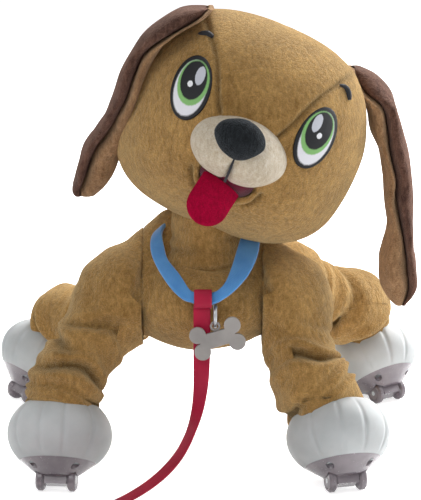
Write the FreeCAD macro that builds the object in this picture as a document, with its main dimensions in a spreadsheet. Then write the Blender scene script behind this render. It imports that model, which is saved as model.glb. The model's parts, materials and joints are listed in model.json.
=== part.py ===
import FreeCAD, Part
import Sketcher
import math
import os

# Plush puppy that walks on a leash: stuffed body, head and legs, four hollow plastic
# paws that each roll on one axle, a fabric collar with a tag, and a ribbon leash.
# +X is the puppy's left, +Y its tail end, +Z up; the wheels stand on z = 0 and the
# origin lies on that floor, midway between the front and the rear axles.

Vector = FreeCAD.Vector
Rotation = FreeCAD.Rotation
Placement = FreeCAD.Placement

X_AXIS = Vector(1, 0, 0)
Y_AXIS = Vector(0, 1, 0)
Z_AXIS = Vector(0, 0, 1)
NO_TURN = Rotation()

doc = FreeCAD.newDocument("WalkingPuppy")
sheet = doc.addObject("Spreadsheet::Sheet", "Sizes")

# ---------------------------------------------------------------- driving sizes, mm and degrees
SIZES = {
    # running clearance between soft pieces, fits of the moulded pieces
    "plush_gap": 0.3, "seat_gap": 0.1, "axle_gap": 0.08, "slip_gap": 0.2,
    # torso: barrel, chest and the stump of the neck, cut flat where the legs are sewn on
    "seam_plane": 35.5, "barrel_back": 15, "barrel_up": 102, "barrel_wide": 45,
    "barrel_long": 88, "barrel_tall": 33, "chest_front": 37, "chest_up": 107, "chest_wide": 50,
    "chest_long": 43, "chest_tall": 29, "stump_low_wide": 33, "stump_top_wide": 27,
    "stump_low": 108, "stump_top": 144,
    # neck ball between torso and head
    "neck_front": 42, "neck_up": 150, "neck_ball": 24,
    # head
    "head_tilt": 22, "head_yaw": -1, "head_rise": 66, "head_back": -3,
    "head_wide": 73.5, "head_deep": 60, "head_tall": 65,
    "muzzle_wide": 30, "muzzle_deep": 22, "muzzle_tall": 21, "muzzle_front": 58, "muzzle_up": 58,
    "nose_side": -3, "nose_wide": 15.5, "nose_deep": 9, "nose_tall": 12, "nose_front": 77, "nose_up": 67.5,
    "eye_side": 38.5, "eye_up": 81.5, "eye_wide": 13, "eye_tall": 19, "eye_lean": 6,
    "stitch_thick": 0.8, "brow_side": 43, "brow_up": 109.5, "brow_wide": 6, "brow_tall": 2.4,
    "mouth_side": -5, "mouth_lean": 4, "mouth_up": 36, "mouth_wide": 18, "mouth_tall": 7,
    "mouth_deep": 8, "mouth_front": 54,
    "tongue_wide": 12, "tongue_long": 30, "tongue_thick": 3.2, "tongue_curl": 30,
    "tongue_side": -1.5, "tongue_front": 61, "tongue_up": 35.5, "tongue_root": 3,
    # collar band round the neck stump, its sewn leash loop
    "collar_front": 49, "collar_up": 130, "collar_slope": 17, "collar_wide": 31,
    "collar_long": 44, "collar_thick": 2.2, "collar_band": 9,
    "loop_wide": 11, "loop_thick": 1.2,
    # eyelet on the collar, split ring and bone tag
    "eyelet_side": 7.7, "eyelet_round": 2.6, "eyelet_wire": 0.6, "eyelet_drop": 2.4,
    "ring_round": 6.5, "ring_wire": 0.8, "ring_lean": 12, "hook_lean": 35,
    "tag_half": 10.6, "tag_lobe": 4.9, "tag_lobe_rise": 5.2, "tag_neck": 9, "tag_thick": 2.2,
    "tag_lean": 17, "tag_drop": 7.2, "tag_side": 1.4, "tag_front": 1, "hook_round": 2.4, "hook_wire": 0.7,
    # legs: half-dome on the flat seam, sleeve, ball at the bend above the paw
    "leg_ball": 19, "rim_drop": 6.5, "dome_inset": 14,
    "front_dome": 37, "front_disc": 28, "front_sleeve": 22,
    "rear_dome": 42, "rear_disc": 26, "rear_sleeve": 22,
    # paw: squashed hollow shell, base, axle and two wheels
    "shell_round": 31.2, "shell_tall": 24.5, "shell_wall": 2.2, "shell_foot": 16.8,
    "shell_neck": 17.3, "base_foot": 25.5, "base_flat": 11, "axle_drop": 27,
    "wheel_round": 7, "wheel_wide": 4.8, "wheel_mid": 9.4, "wheel_lip": 1.2, "hub_round": 4.2,
    "hub_sink": 0.8, "axle_round": 1.5, "well_gap": 0.8, "well_side": 0.35,
    "block_long": 11, "block_foot": 30.4, "post_ring": 17.5, "post_round": 3.2, "post_top": 7,
    "rib_thick": 1.6, "screw_shank": 1.1, "screw_long": 9, "screw_head": 2.2,
    "screw_head_tall": 1.4, "screw_seat": 18.2, "weight_round": 13.9, "weight_tall": 5,
    "bead_grow": 2, "bead_low": 8, "bead_high": 12, "plug_gap": 0.3, "cuff_foot": 20,
    # tail
    "tail_round": 30, "tail_root": 9, "tail_low": 8, "tail_tip": 5,
    "tail_long": 36, "tail_lift": 45,
    # ribbon leash: band, loose coil and hand loop on the floor
    "ribbon_wide": 10, "ribbon_thick": 1.2, "coil_out": 52, "coil_in": 18,
    "coil_side": -104, "coil_front": -212, "handle_long": 44, "handle_wide": 18,
    # ears: half-widths of the dark outer ear and of its lining
    "ear_wide": 21, "ear_thick": 5.5, "lining_wide": 19, "lining_thick": 3.2,
}
# Where each leg's axle lies, how its paw is turned and where the leg bends above it.
LEG_POSE = {
    "front_right": {"side": -86, "back": -95, "toe_out": -6, "toe_up": 27,
                    "hip_back": -45, "hip_up": 106, "bend_side": -77, "bend_back": -70,
                    "bend_up": 68, "knuckle_side": -82, "knuckle_back": -74,
                    "knuckle_up": 56, "knuckle": 21.5},
    "front_left": {"side": 85, "back": -95, "toe_out": 16, "toe_up": 31,
                   "hip_back": -45, "hip_up": 106, "bend_side": 67, "bend_back": -70,
                   "bend_up": 66, "knuckle_side": 71, "knuckle_back": -74,
                   "knuckle_up": 56, "knuckle": 24},
    "rear_right": {"side": -122, "back": 97, "toe_out": -55, "toe_up": 38,
                   "hip_back": 58, "hip_up": 82, "bend_side": -80, "bend_back": 84,
                   "bend_up": 61.5, "knuckle_side": -91, "knuckle_back": 96,
                   "knuckle_up": 57, "knuckle": 23},
    "rear_left": {"side": 125, "back": 97, "toe_out": 35, "toe_up": 38,
                  "hip_back": 58, "hip_up": 96, "bend_side": 86, "bend_back": 82,
                  "bend_up": 76, "knuckle_side": 99, "knuckle_back": 94,
                  "knuckle_up": 68, "knuckle": 25},
}
for leg, pose in LEG_POSE.items():
    SIZES.update({f"{leg}_{key}": value for key, value in pose.items()})
for row, (alias, value) in enumerate(SIZES.items(), start=1):
    sheet.set(f"A{row}", alias)
    sheet.set(f"B{row}", str(value))
    sheet.setAlias(f"B{row}", alias)
doc.recompute()


def size(alias):
    """Value of one driving size."""
    return float(sheet.get(alias))


# ---------------------------------------------------------------- small helpers
SUBPARTS = []


def bind(item, **formulas):
    """Tie properties of one object to formulas over the sheet's aliases."""
    for name, formula in formulas.items():
        item.setExpression(name, formula)


def subpart(item, node):
    """Register a finished object as the sub-part called node."""
    item.Label = node
    SUBPARTS.append((node, item))
    return item


def ball(name, wide, deep, tall, place, **limits):
    """Ellipsoid with half-axes wide (x), deep (y) and tall (z); its surface closes at the back."""
    item = doc.addObject("Part::Ellipsoid", name)
    bind(item, Radius1=tall, Radius2=deep, Radius3=wide, **limits)
    item.Placement = place * at(turn=Rotation(Z_AXIS, 90))
    return item


def sphere(name, radius, place):
    item = doc.addObject("Part::Sphere", name)
    bind(item, Radius=radius)
    item.Placement = place
    return item


def cylinder(name, radius, height, place):
    item = doc.addObject("Part::Cylinder", name)
    bind(item, Radius=radius, Height=height)
    item.Placement = place
    return item


def cone(name, low, high, height, place):
    item = doc.addObject("Part::Cone", name)
    bind(item, Radius1=low, Radius2=high, Height=height)
    item.Placement = place
    return item


def box(name, long, wide, tall, place):
    item = doc.addObject("Part::Box", name)
    bind(item, Length=long, Width=wide, Height=tall)
    item.Placement = place
    return item


def torus(name, ring, wire, place):
    item = doc.addObject("Part::Torus", name)
    bind(item, Radius1=ring, Radius2=wire)
    item.Placement = place
    return item


def cut(name, base, *tools):
    for number, tool in enumerate(tools):
        item = doc.addObject("Part::Cut", f"{name}_{number}")
        item.Base = base
        item.Tool = tool
        base = item
    return base


def fuse(name, *items):
    item = doc.addObject("Part::MultiFuse", name)
    item.Shapes = list(items)
    return item


def common(name, first, second):
    item = doc.addObject("Part::Common", name)
    item.Base = first
    item.Tool = second
    return item


def circle(name, radius, place):
    item = doc.addObject("Part::Circle", name)
    bind(item, Radius=radius)
    item.Placement = place
    return item


def ellipse(name, major, minor, place):
    item = doc.addObject("Part::Ellipse", name)
    bind(item, MajorRadius=major, MinorRadius=minor)
    item.Placement = place
    return item


def loft(name, *sections):
    item = doc.addObject("Part::Loft", name)
    item.Sections = list(sections)
    item.Solid = True
    return item


def towards(direction):
    """Rotation that turns +Z to a direction."""
    return Rotation(Z_AXIS, Vector(direction))


def unit(vector):
    result = Vector(vector)
    return result.normalize()


def origin_plane(body, role):
    return next(item for item in body.Origin.OriginFeatures if item.Role == role)


def sketch_on(body, name, role):
    sketch = body.newObject("Sketcher::SketchObject", name)
    sketch.AttachmentSupport = (origin_plane(body, role), "")
    sketch.MapMode = "FlatFace"
    return sketch


# A corner is held from the sketch's axes by two formulas, so an outline follows the sheet.
def outline(sketch, corners):
    """Closed outline of straight lines through corners given as pairs of formulas."""
    count = len(corners)
    guess = [Vector(number, number * number + 1, 0) for number in range(count)]
    for number in range(count):
        sketch.addGeometry(Part.LineSegment(guess[number], guess[(number + 1) % count]))
    for number in range(count):
        sketch.addConstraint(Sketcher.Constraint("Coincident", number, 2, (number + 1) % count, 1))
    for number, (across, along) in enumerate(corners):
        for kind, formula in (("DistanceX", across), ("DistanceY", along)):
            name = f"corner{number}{kind[-1]}"
            index = sketch.addConstraint(Sketcher.Constraint(kind, -1, 1, number, 1, 1.0))
            sketch.renameConstraint(index, name)
            sketch.setExpression(f"Constraints.{name}", formula)


def at(x=0.0, y=0.0, z=0.0, turn=NO_TURN):
    return Placement(Vector(x, y, z), turn)


def prism(name, profile, height):
    """Flat profile drawn out along its own normal, as a solid."""
    item = doc.addObject("Part::Extrusion", name)
    item.Base = profile
    item.DirMode = "Normal"
    item.Solid = True
    item.Symmetric = True
    bind(item, LengthFwd=height)
    return item


# ---------------------------------------------------------------- collar with its eyelet
# A sewn fabric band lies round the neck stump, low in front where the leash pulls it.
collar_frame = at(0, -size("collar_front"), size("collar_up"),
                  Rotation(X_AXIS, size("collar_slope")))


def collar_band(name, grow):
    """Oval band; grow is the formula for a margin all round it."""
    turned = collar_frame * at(turn=Rotation(Z_AXIS, 90))
    outer = ellipse(f"{name}_outer", f"Sizes.collar_long + Sizes.collar_thick + {grow}",
                    f"Sizes.collar_wide + Sizes.collar_thick + {grow}", turned)
    inner = ellipse(f"{name}_inner", f"Sizes.collar_long - {grow}",
                    f"Sizes.collar_wide - {grow}", turned)
    tall = f"Sizes.collar_band + 2 * ({grow})"
    return cut(name, prism(f"{name}_full", outer, tall), prism(f"{name}_space", inner, tall))


eyelet_at = Vector(size("eyelet_side"), -size("collar_long") + size("collar_thick") / 2,
                   -size("collar_band") / 2 - size("eyelet_drop"))
# the band's oval is nearer to its middle at the eyelet's side
eyelet_at.y *= math.sqrt(1 - (size("eyelet_side") / size("collar_wide")) ** 2)
eyelet_world = collar_frame.multVec(eyelet_at)
eyelet = torus("eyelet", "Sizes.eyelet_round", "Sizes.eyelet_wire",
               collar_frame * Placement(eyelet_at, towards(Y_AXIS)))
subpart(fuse("collar_whole", collar_band("band", "0"), eyelet), "collar")

# The leash's ribbon is folded round the band and stitched to itself.
loop_reach = size("collar_long") + size("collar_thick") + size("loop_thick")
loop_block = box("loop_block", "Sizes.loop_wide", "Sizes.collar_thick + 2 * Sizes.loop_thick",
                 "Sizes.collar_band + 2 * Sizes.loop_thick",
                 collar_frame * at(-size("loop_wide") / 2, -loop_reach,
                                   -size("collar_band") / 2 - size("loop_thick")))
subpart(cut("loop_cut", loop_block, collar_band("loop_room", "0")), "leash_loop")

# ---------------------------------------------------------------- torso
# One stuffed plush bag: barrel, chest and neck stump, with a flat disc on each side where
# the legs are sewn on, a cup on top for the neck ball and a dent under the collar.
neck_at = Vector(0, -size("neck_front"), size("neck_up"))


def bulge(form):
    """Rounded part of the bag, cut flat on both sides at the leg seams."""
    flat = f"asin(Sizes.seam_plane / Sizes.{form}_wide)"
    back = size("barrel_back") if form == "barrel" else -size("chest_front")
    return ball(form, f"Sizes.{form}_tall", f"Sizes.{form}_long", f"Sizes.{form}_wide",
                at(0, back, size(f"{form}_up"), towards(X_AXIS)), Angle1=f"-{flat}", Angle2=flat)


stump = cone("stump", "Sizes.stump_low_wide", "Sizes.stump_top_wide",
             "Sizes.stump_top - Sizes.stump_low", at(0, -size("neck_front"), size("stump_low")))
neck_cup = sphere("neck_cup", "Sizes.neck_ball + Sizes.plush_gap", Placement(neck_at, NO_TURN))
torso_form = fuse("torso_mass", bulge("barrel"), bulge("chest"), stump)
loop_room = box("loop_seat", "Sizes.loop_wide + 2 * Sizes.plush_gap",
                "Sizes.collar_thick + 2 * (Sizes.loop_thick + Sizes.plush_gap)",
                "Sizes.collar_band + 2 * (Sizes.loop_thick + Sizes.plush_gap)",
                collar_frame * at(-size("loop_wide") / 2 - size("plush_gap"),
                                  -loop_reach - size("plush_gap"),
                                  -size("collar_band") / 2 - size("loop_thick")
                                  - size("plush_gap")))
subpart(cut("torso", torso_form, neck_cup, collar_band("collar_dent", "Sizes.plush_gap"),
            loop_room), "torso_plush")
subpart(sphere("neck", "Sizes.neck_ball", Placement(neck_at, NO_TURN)), "neck_plush")

# ---------------------------------------------------------------- head and face
# The head frame stands on the neck ball's centre, leaning to the puppy's left.
head_frame = Placement(neck_at, Rotation(Y_AXIS, size("head_tilt"))
                       * Rotation(Z_AXIS, size("head_yaw")))
skull_at = head_frame * at(0, size("head_back"), size("head_rise"))


def skull(name, grow):
    """The stuffed head's rounded form; grow is the formula for a margin over it."""
    return ball(name, f"Sizes.head_wide + {grow}", f"Sizes.head_deep + {grow}",
                f"Sizes.head_tall + {grow}", skull_at)


head_cup = sphere("head_cup", "Sizes.neck_ball + Sizes.plush_gap", Placement(neck_at, NO_TURN))
subpart(cut("head", skull("skull", "0"), head_cup), "head_plush")


def muzzle_form(name, grow):
    """Rounded snout; grow is the formula for a margin over it."""
    return ball(name, f"Sizes.muzzle_wide + {grow}", f"Sizes.muzzle_deep + {grow}",
                f"Sizes.muzzle_tall + {grow}",
                head_frame * at(0, -size("muzzle_front"), size("muzzle_up")))


nose_form = ball("nose_form", "Sizes.nose_wide", "Sizes.nose_deep", "Sizes.nose_tall",
                 head_frame * at(size("nose_side"), -size("nose_front"), size("nose_up")))


def face_patch(name, side, up, wide, tall, lean, thick):
    """Oval of embroidery that lies on the skull, facing the front of the head."""
    place = head_frame * at(side, -size("head_deep"), up, Rotation(Y_AXIS, lean))
    oval = ball(f"{name}_oval", wide, "0.8 * Sizes.head_deep", tall, place)
    skin = common(f"{name}_skin", oval, skull(f"{name}_face", thick))
    return cut(f"{name}_cut", skin, skull(f"{name}_under", "Sizes.seat_gap"))


def mouth_form(name, grow):
    """Lip of lining below the muzzle; grow is the formula for a margin over it."""
    return ball(name, f"Sizes.mouth_wide + {grow}", f"Sizes.mouth_deep + {grow}",
                f"Sizes.mouth_tall + {grow}",
                head_frame * at(size("mouth_side"), -size("mouth_front"), size("mouth_up"),
                                Rotation(Y_AXIS, size("mouth_lean"))))


subpart(cut("mouth_cut", mouth_form("mouth_lip", "0"), skull("mouth_back", "Sizes.seat_gap")),
        "mouth_lining")
subpart(cut("muzzle_cut", muzzle_form("muzzle_ball", "0"), skull("muzzle_back", "Sizes.seat_gap"),
            mouth_form("muzzle_mouth", "Sizes.seat_gap")), "muzzle")
subpart(cut("nose_cut", nose_form, muzzle_form("nose_seat", "Sizes.seat_gap")), "nose")
for word, way in (("right", -1), ("left", 1)):
    subpart(face_patch(f"eye_{word}", way * size("eye_side"), size("eye_up"), "Sizes.eye_wide",
                       "Sizes.eye_tall", way * size("eye_lean"), "Sizes.stitch_thick"),
            f"eye_patch_{word}")
brows = [face_patch(f"brow_{word}", way * size("brow_side"), size("brow_up"), "Sizes.brow_wide",
                    "Sizes.brow_tall", way * size("tag_lean"), "Sizes.stitch_thick")
         for word, way in (("right", -1), ("left", 1))]
brow_pair = doc.addObject("Part::Compound", "brow_pair")
brow_pair.Links = brows
subpart(brow_pair, "brow_stitches")

# The tongue hangs out of the mouth, a flat felt lobe in front of the chin.
tongue_top = Vector(size("tongue_side"), -size("tongue_front"), size("tongue_up"))
tongue_frame = head_frame * Placement(tongue_top, Rotation(X_AXIS, -size("tongue_curl")))
tongue_lobe = ball("tongue_lobe", "Sizes.tongue_wide", "Sizes.tongue_thick / 2",
                   "Sizes.tongue_long / 2",
                   tongue_frame * at(z=size("tongue_root") - size("tongue_long") / 2))
subpart(cut("tongue_cut", tongue_lobe, skull("tongue_skull", "Sizes.plush_gap"),
            muzzle_form("tongue_muzzle", "Sizes.plush_gap"),
            mouth_form("tongue_mouth", "Sizes.seat_gap")), "tongue")

# ---------------------------------------------------------------- legs and paws
SEAM = size("seam_plane") + size("plush_gap")
SHELL_SOLE = "Sizes.shell_round * sqrt(1 - (Sizes.shell_foot / Sizes.shell_tall) ^ 2)"
SHELL_HOLE = ("(Sizes.shell_round - Sizes.shell_wall)"
              " * sqrt(1 - (Sizes.shell_neck / (Sizes.shell_tall - Sizes.shell_wall)) ^ 2)")


def leg_frames(leg):
    """Hip centre, bend centre and the paw's frame, for one leg."""
    word = leg.split("_")[0]
    way = math.copysign(1, size(f"{leg}_side"))
    hip = Vector(way * SEAM, size(f"{leg}_hip_back"), size(f"{leg}_hip_up"))
    bend = Vector(size(f"{leg}_bend_side"), size(f"{leg}_bend_back"), size(f"{leg}_bend_up"))
    turn = (Rotation(Z_AXIS, size(f"{leg}_toe_out"))
            * Rotation(X_AXIS, -size(f"{leg}_toe_up")))
    axle = Vector(size(f"{leg}_side"), size(f"{leg}_back"), size("wheel_round"))
    paw = Placement(axle + turn.multVec(Vector(0, 0, size("axle_drop"))), turn)
    return word, way, hip, bend, paw


def make_leg(leg):
    """Plush leg: half-dome sewn to the torso's flat side, sleeve, round end at the bend."""
    word, way, hip, bend, paw = leg_frames(leg)
    dome = ball(f"{leg}_dome", f"Sizes.{word}_disc", f"Sizes.{word}_disc", f"Sizes.{word}_dome",
                Placement(hip, towards(X_AXIS * way)), Angle1="0")
    start = hip + X_AXIS * way * size("dome_inset")
    down = unit(bend - start)
    sleeve = loft(f"{leg}_sleeve_loft",
                  circle(f"{leg}_top", f"Sizes.{word}_sleeve", Placement(start, towards(down))),
                  circle(f"{leg}_low", "Sizes.leg_ball", Placement(bend, towards(down))))
    end = sphere(f"{leg}_end", "Sizes.leg_ball", Placement(bend, NO_TURN))
    torso_side = box(f"{leg}_torso_side", "Sizes.seam_plane + Sizes.plush_gap",
                     "4 * Sizes.front_disc", "4 * Sizes.front_disc",
                     at(0 if way > 0 else -SEAM, hip.y - 2 * size("front_disc"),
                        hip.z - 2 * size("front_disc")))
    subpart(cut(f"{leg}_leg", fuse(f"{leg}_mass", dome, sleeve, end), torso_side),
            f"leg_{leg}")


def make_cuff(leg):
    """Plush cuff below the bend, gathered into the paw's neck and held there by its bead."""
    word, way, hip, bend, paw = leg_frames(leg)
    start = hip + X_AXIS * way * size("dome_inset")
    down = unit(bend - start)
    rim = bend + down * size("rim_drop")
    knuckle_at = Vector(*[size(f"{leg}_knuckle_{axis}") for axis in ("side", "back", "up")])
    knuckle = sphere(f"{leg}_knuckle_form", f"Sizes.{leg}_knuckle",
                     Placement(knuckle_at, NO_TURN))
    neck_up = size("shell_neck")
    lower = loft(f"{leg}_cuff_lower",
                 circle(f"{leg}_foot", "Sizes.cuff_foot", paw * at(z=neck_up + size("plush_gap"))),
                 circle(f"{leg}_knee", f"0.9 * Sizes.{leg}_knuckle",
                        Placement(knuckle_at, paw.Rotation)))
    plug = cylinder(f"{leg}_plug", f"{SHELL_HOLE} - Sizes.plug_gap",
                    "Sizes.shell_neck + Sizes.plush_gap - Sizes.bead_low",
                    paw * at(z=size("bead_low")))
    bead = cylinder(f"{leg}_bead", f"{SHELL_HOLE} + Sizes.bead_grow", "Sizes.bead_high - Sizes.bead_low",
                    paw * at(z=size("bead_low")))
    cup = sphere(f"{leg}_cup", "Sizes.leg_ball + Sizes.plush_gap", Placement(bend, towards(down)))
    above = cylinder(f"{leg}_above", "1.7 * Sizes.leg_ball", "2 * Sizes.leg_ball",
                     Placement(rim, towards(down * -1)))
    shell_lip = cylinder(f"{leg}_shell_lip", "2 * Sizes.shell_round", "Sizes.shell_neck",
                         paw * at())
    soft = cut(f"{leg}_cuff_mass", fuse(f"{leg}_cuff_soft", knuckle, lower), cup, above,
               shell_lip)
    subpart(fuse(f"{leg}_cuff_all", soft, plug, bead), f"cuff_{leg}")


def make_shell(leg, paw):
    """Milky hollow ball, open at the neck and at the foot, with four screw posts inside."""
    outer = ball(f"{leg}_outer", "Sizes.shell_round", "Sizes.shell_round", "Sizes.shell_tall",
                 paw, Angle1="-asin(Sizes.shell_foot / Sizes.shell_tall)",
                 Angle2="asin(Sizes.shell_neck / Sizes.shell_tall)")
    inner = ball(f"{leg}_inner", "Sizes.shell_round - Sizes.shell_wall",
                 "Sizes.shell_round - Sizes.shell_wall", "Sizes.shell_tall - Sizes.shell_wall",
                 paw)
    hollow = cut(f"{leg}_hollow", outer, inner)
    posts = []
    holes = []
    for number in range(4):
        spot = paw * at(turn=Rotation(Z_AXIS, 45 + 90 * number)) * at(x=size("post_ring"))
        foot = spot * at(z=-size("shell_foot"))
        rib = box(f"{leg}_rib{number}", "Sizes.shell_round - Sizes.post_ring",
                  "Sizes.rib_thick", "Sizes.shell_foot - Sizes.post_top",
                  foot * at(y=-size("rib_thick") / 2))
        posts.append(common(f"{leg}_gusset{number}", rib, outer))
        posts.append(cylinder(f"{leg}_post{number}", "Sizes.post_round",
                              "Sizes.shell_foot - Sizes.post_top", foot))
        holes.append(cylinder(f"{leg}_pilot{number}", "Sizes.screw_shank",
                              "Sizes.screw_long + Sizes.shell_foot - Sizes.screw_seat",
                              foot))
    tools = fuse(f"{leg}_shell_tools", *holes)
    subpart(cut(f"{leg}_shell", fuse(f"{leg}_shell_all", hollow, *posts), tools),
            f"paw_shell_{leg}")


def make_base(leg, paw):
    """Smoky base under the shell: cone, axle block, wheel wells and screw seats."""
    bowl = cone(f"{leg}_bowl", "Sizes.base_flat", SHELL_SOLE,
                "Sizes.base_foot - Sizes.shell_foot", paw * at(z=-size("base_foot")))
    half = size("wheel_mid") - size("wheel_wide") / 2 - size("well_side")
    block = box(f"{leg}_block", "2 * (Sizes.wheel_mid - Sizes.wheel_wide / 2 - Sizes.well_side)",
                "Sizes.block_long", "Sizes.block_foot - Sizes.shell_foot - 1",
                paw * at(-half, -size("block_long") / 2, -size("block_foot")))
    wells = []
    for number, way in enumerate((-1, 1)):
        place = paw * Placement(Vector(way * half, 0, -size("axle_drop")),
                                towards(X_AXIS * way))
        wells.append(cylinder(f"{leg}_well{number}", "Sizes.wheel_round + Sizes.well_gap",
                              "Sizes.wheel_wide + 2 * Sizes.well_side", place))
    bore = cylinder(f"{leg}_bore", "Sizes.axle_round + Sizes.axle_gap", "4 * Sizes.wheel_mid",
                    paw * Placement(Vector(-2 * size("wheel_mid"), 0, -size("axle_drop")),
                                    towards(X_AXIS)))
    seats = []
    for number in range(4):
        spot = paw * at(turn=Rotation(Z_AXIS, 45 + 90 * number)) * at(x=size("post_ring"))
        seats.append(cylinder(f"{leg}_seat{number}", "Sizes.screw_head + Sizes.slip_gap",
                              "Sizes.base_foot - Sizes.screw_seat",
                              spot * at(z=-size("base_foot"))))
        seats.append(cylinder(f"{leg}_way{number}", "Sizes.screw_shank + Sizes.slip_gap",
                              "Sizes.base_foot - Sizes.shell_foot + 1",
                              spot * at(z=-size("base_foot"))))
    tools = fuse(f"{leg}_base_tools", *wells, bore, *seats)
    subpart(cut(f"{leg}_base", fuse(f"{leg}_base_all", bowl, block), tools),
            f"paw_base_{leg}")


def make_paw_inside(leg, paw):
    """Steel weight that keeps the paw on its wheels, and four screws up through the base."""
    weight = cylinder(f"{leg}_weight", "Sizes.weight_round", "Sizes.weight_tall",
                      paw * at(z=-size("shell_foot")))
    subpart(weight, f"paw_weight_{leg}")
    screws = []
    for number in range(4):
        spot = paw * at(turn=Rotation(Z_AXIS, 45 + 90 * number)) * at(x=size("post_ring"))
        head = cylinder(f"{leg}_screwhead{number}", "Sizes.screw_head", "Sizes.screw_head_tall",
                        spot * at(z=-size("screw_seat") - size("screw_head_tall")))
        shank = cylinder(f"{leg}_screwshank{number}", "Sizes.screw_shank", "Sizes.screw_long",
                         spot * at(z=-size("screw_seat")))
        screws.append(fuse(f"{leg}_screw{number}", head, shank))
    bundle = doc.addObject("Part::Compound", f"{leg}_screws")
    bundle.Links = screws
    subpart(bundle, f"paw_screws_{leg}")


def make_wheels(leg, paw):
    """Steel axle pressed into two narrow wheels, one on each side of the block."""
    centre = paw * at(z=-size("axle_drop"))
    reach = size("wheel_mid") + size("wheel_wide") / 2
    axle = cylinder(f"{leg}_axle", "Sizes.axle_round", "2 * Sizes.wheel_mid + Sizes.wheel_wide",
                    centre * Placement(Vector(-reach, 0, 0), towards(X_AXIS)))
    subpart(axle, f"axle_{leg}")
    for word, way in (("right", -1), ("left", 1)):
        body = doc.addObject("PartDesign::Body", f"{leg}_wheel_{word}")
        half = sketch_on(body, f"{leg}_{word}_outline", "XZ_Plane")
        mid = "Sizes.wheel_wide / 2"
        rim = "Sizes.wheel_round - 2 * Sizes.wheel_lip"
        outline(half, [
            (f"-{mid}", "Sizes.axle_round"), (f"-{mid}", "Sizes.wheel_round - Sizes.wheel_lip"),
            (f"-{mid} + Sizes.wheel_lip", "Sizes.wheel_round"),
            (f"{mid} - Sizes.wheel_lip", "Sizes.wheel_round"),
            (mid, "Sizes.wheel_round - Sizes.wheel_lip"), (mid, rim),
            (f"{mid} - Sizes.hub_sink", rim), (f"{mid} - Sizes.hub_sink", "Sizes.hub_round"),
            (mid, "Sizes.hub_round"), (mid, "Sizes.axle_round"),
        ])
        turned = body.newObject("PartDesign::Revolution", f"{leg}_{word}_turned")
        turned.Profile = half
        turned.ReferenceAxis = (half, ["H_Axis"])
        turned.Angle = 360
        flip = NO_TURN if way > 0 else Rotation(Z_AXIS, 180)
        body.Placement = centre * Placement(Vector(way * size("wheel_mid"), 0, 0), flip)
        subpart(body, f"wheel_{leg}_{word}")


for leg in LEG_POSE:
    make_leg(leg)
    make_cuff(leg)
    paw_frame = leg_frames(leg)[-1]
    make_shell(leg, paw_frame)
    make_base(leg, paw_frame)
    make_paw_inside(leg, paw_frame)
    make_wheels(leg, paw_frame)

# ---------------------------------------------------------------- ears
# Each ear is two layers of plush, a dark outer one and a lining, that hang from the head.
# Stations down an ear: place of its middle, lean of its flat side and share of its width.
EARS = {
    "left": [((96, -34, 238), 38, 0.7), ((109, -32, 221), 24, 0.95), ((119, -30, 190), 10, 1.0),
             ((123, -29, 158), 4, 1.05), ((125, -29, 128), 2, 1.0), ((126, -30, 106), 4, 0.7),
             ((125, -30, 97), 4, 0.35)],
    "right": [((-9, -36, 277), -75, 0.55), ((-27, -34, 262), -52, 0.85),
              ((-41, -32, 243), -34, 1.0), ((-52, -31, 219), -26, 1.05),
              ((-66, -30, 193), -26, 1.0), ((-73, -30, 173), -12, 0.65),
              ((-74, -30, 165), -8, 0.35)],
}


def make_ear(word, stations):
    """Two lofted layers; the lining lies on the head's side and both clear the head."""
    way = 1 if word == "left" else -1
    step = (size("ear_thick") + size("lining_thick") + size("slip_gap")) * way
    for node, layer, shift in (("ear_outer", "ear", 0), ("ear_lining", "lining", -step)):
        sections = []
        for number, (middle, lean, share) in enumerate(stations):
            turn = Rotation(Y_AXIS, -lean)
            place = (Placement(Vector(*middle), turn) * at(x=shift)
                     * at(turn=Rotation(Z_AXIS, 90)))
            sections.append(ellipse(f"{node}_{word}_{number}", f"{share} * Sizes.{layer}_wide",
                                    f"Sizes.{layer}_thick * min(1; 0.35 + 0.65 * {share})",
                                    place))
        layers = loft(f"{node}_{word}_loft", *sections)
        layers.Ruled = True
        subpart(cut(f"{node}_{word}_cut", layers, skull(f"{node}_{word}_head", "Sizes.plush_gap")),
                f"{node}_{word}")


for word, stations in EARS.items():
    make_ear(word, stations)

# ---------------------------------------------------------------- tail
# Its round root rests on the barrel's upper back end, tail_round degrees up the oval outline.
round_up = math.radians(size("tail_round"))
tail_seat = Vector(0, size("barrel_back") + size("barrel_long") * math.cos(round_up),
                   size("barrel_up") + size("barrel_tall") * math.sin(round_up))
tail_normal = unit(Vector(0, math.cos(round_up) / size("barrel_long"),
                          math.sin(round_up) / size("barrel_tall")))
tail_at = tail_seat + tail_normal * (size("tail_root") + size("plush_gap"))
tail_frame = Placement(tail_at, Rotation(X_AXIS, -size("tail_lift")))
tail_root = sphere("tail_root", "Sizes.tail_root", tail_frame)
tail_stem = cone("tail_stem", "Sizes.tail_low", "Sizes.tail_tip", "Sizes.tail_long", tail_frame)
tail_end = sphere("tail_end", "Sizes.tail_tip", tail_frame * at(z=size("tail_long")))
subpart(fuse("tail_all", tail_root, tail_stem, tail_end), "tail")

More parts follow.
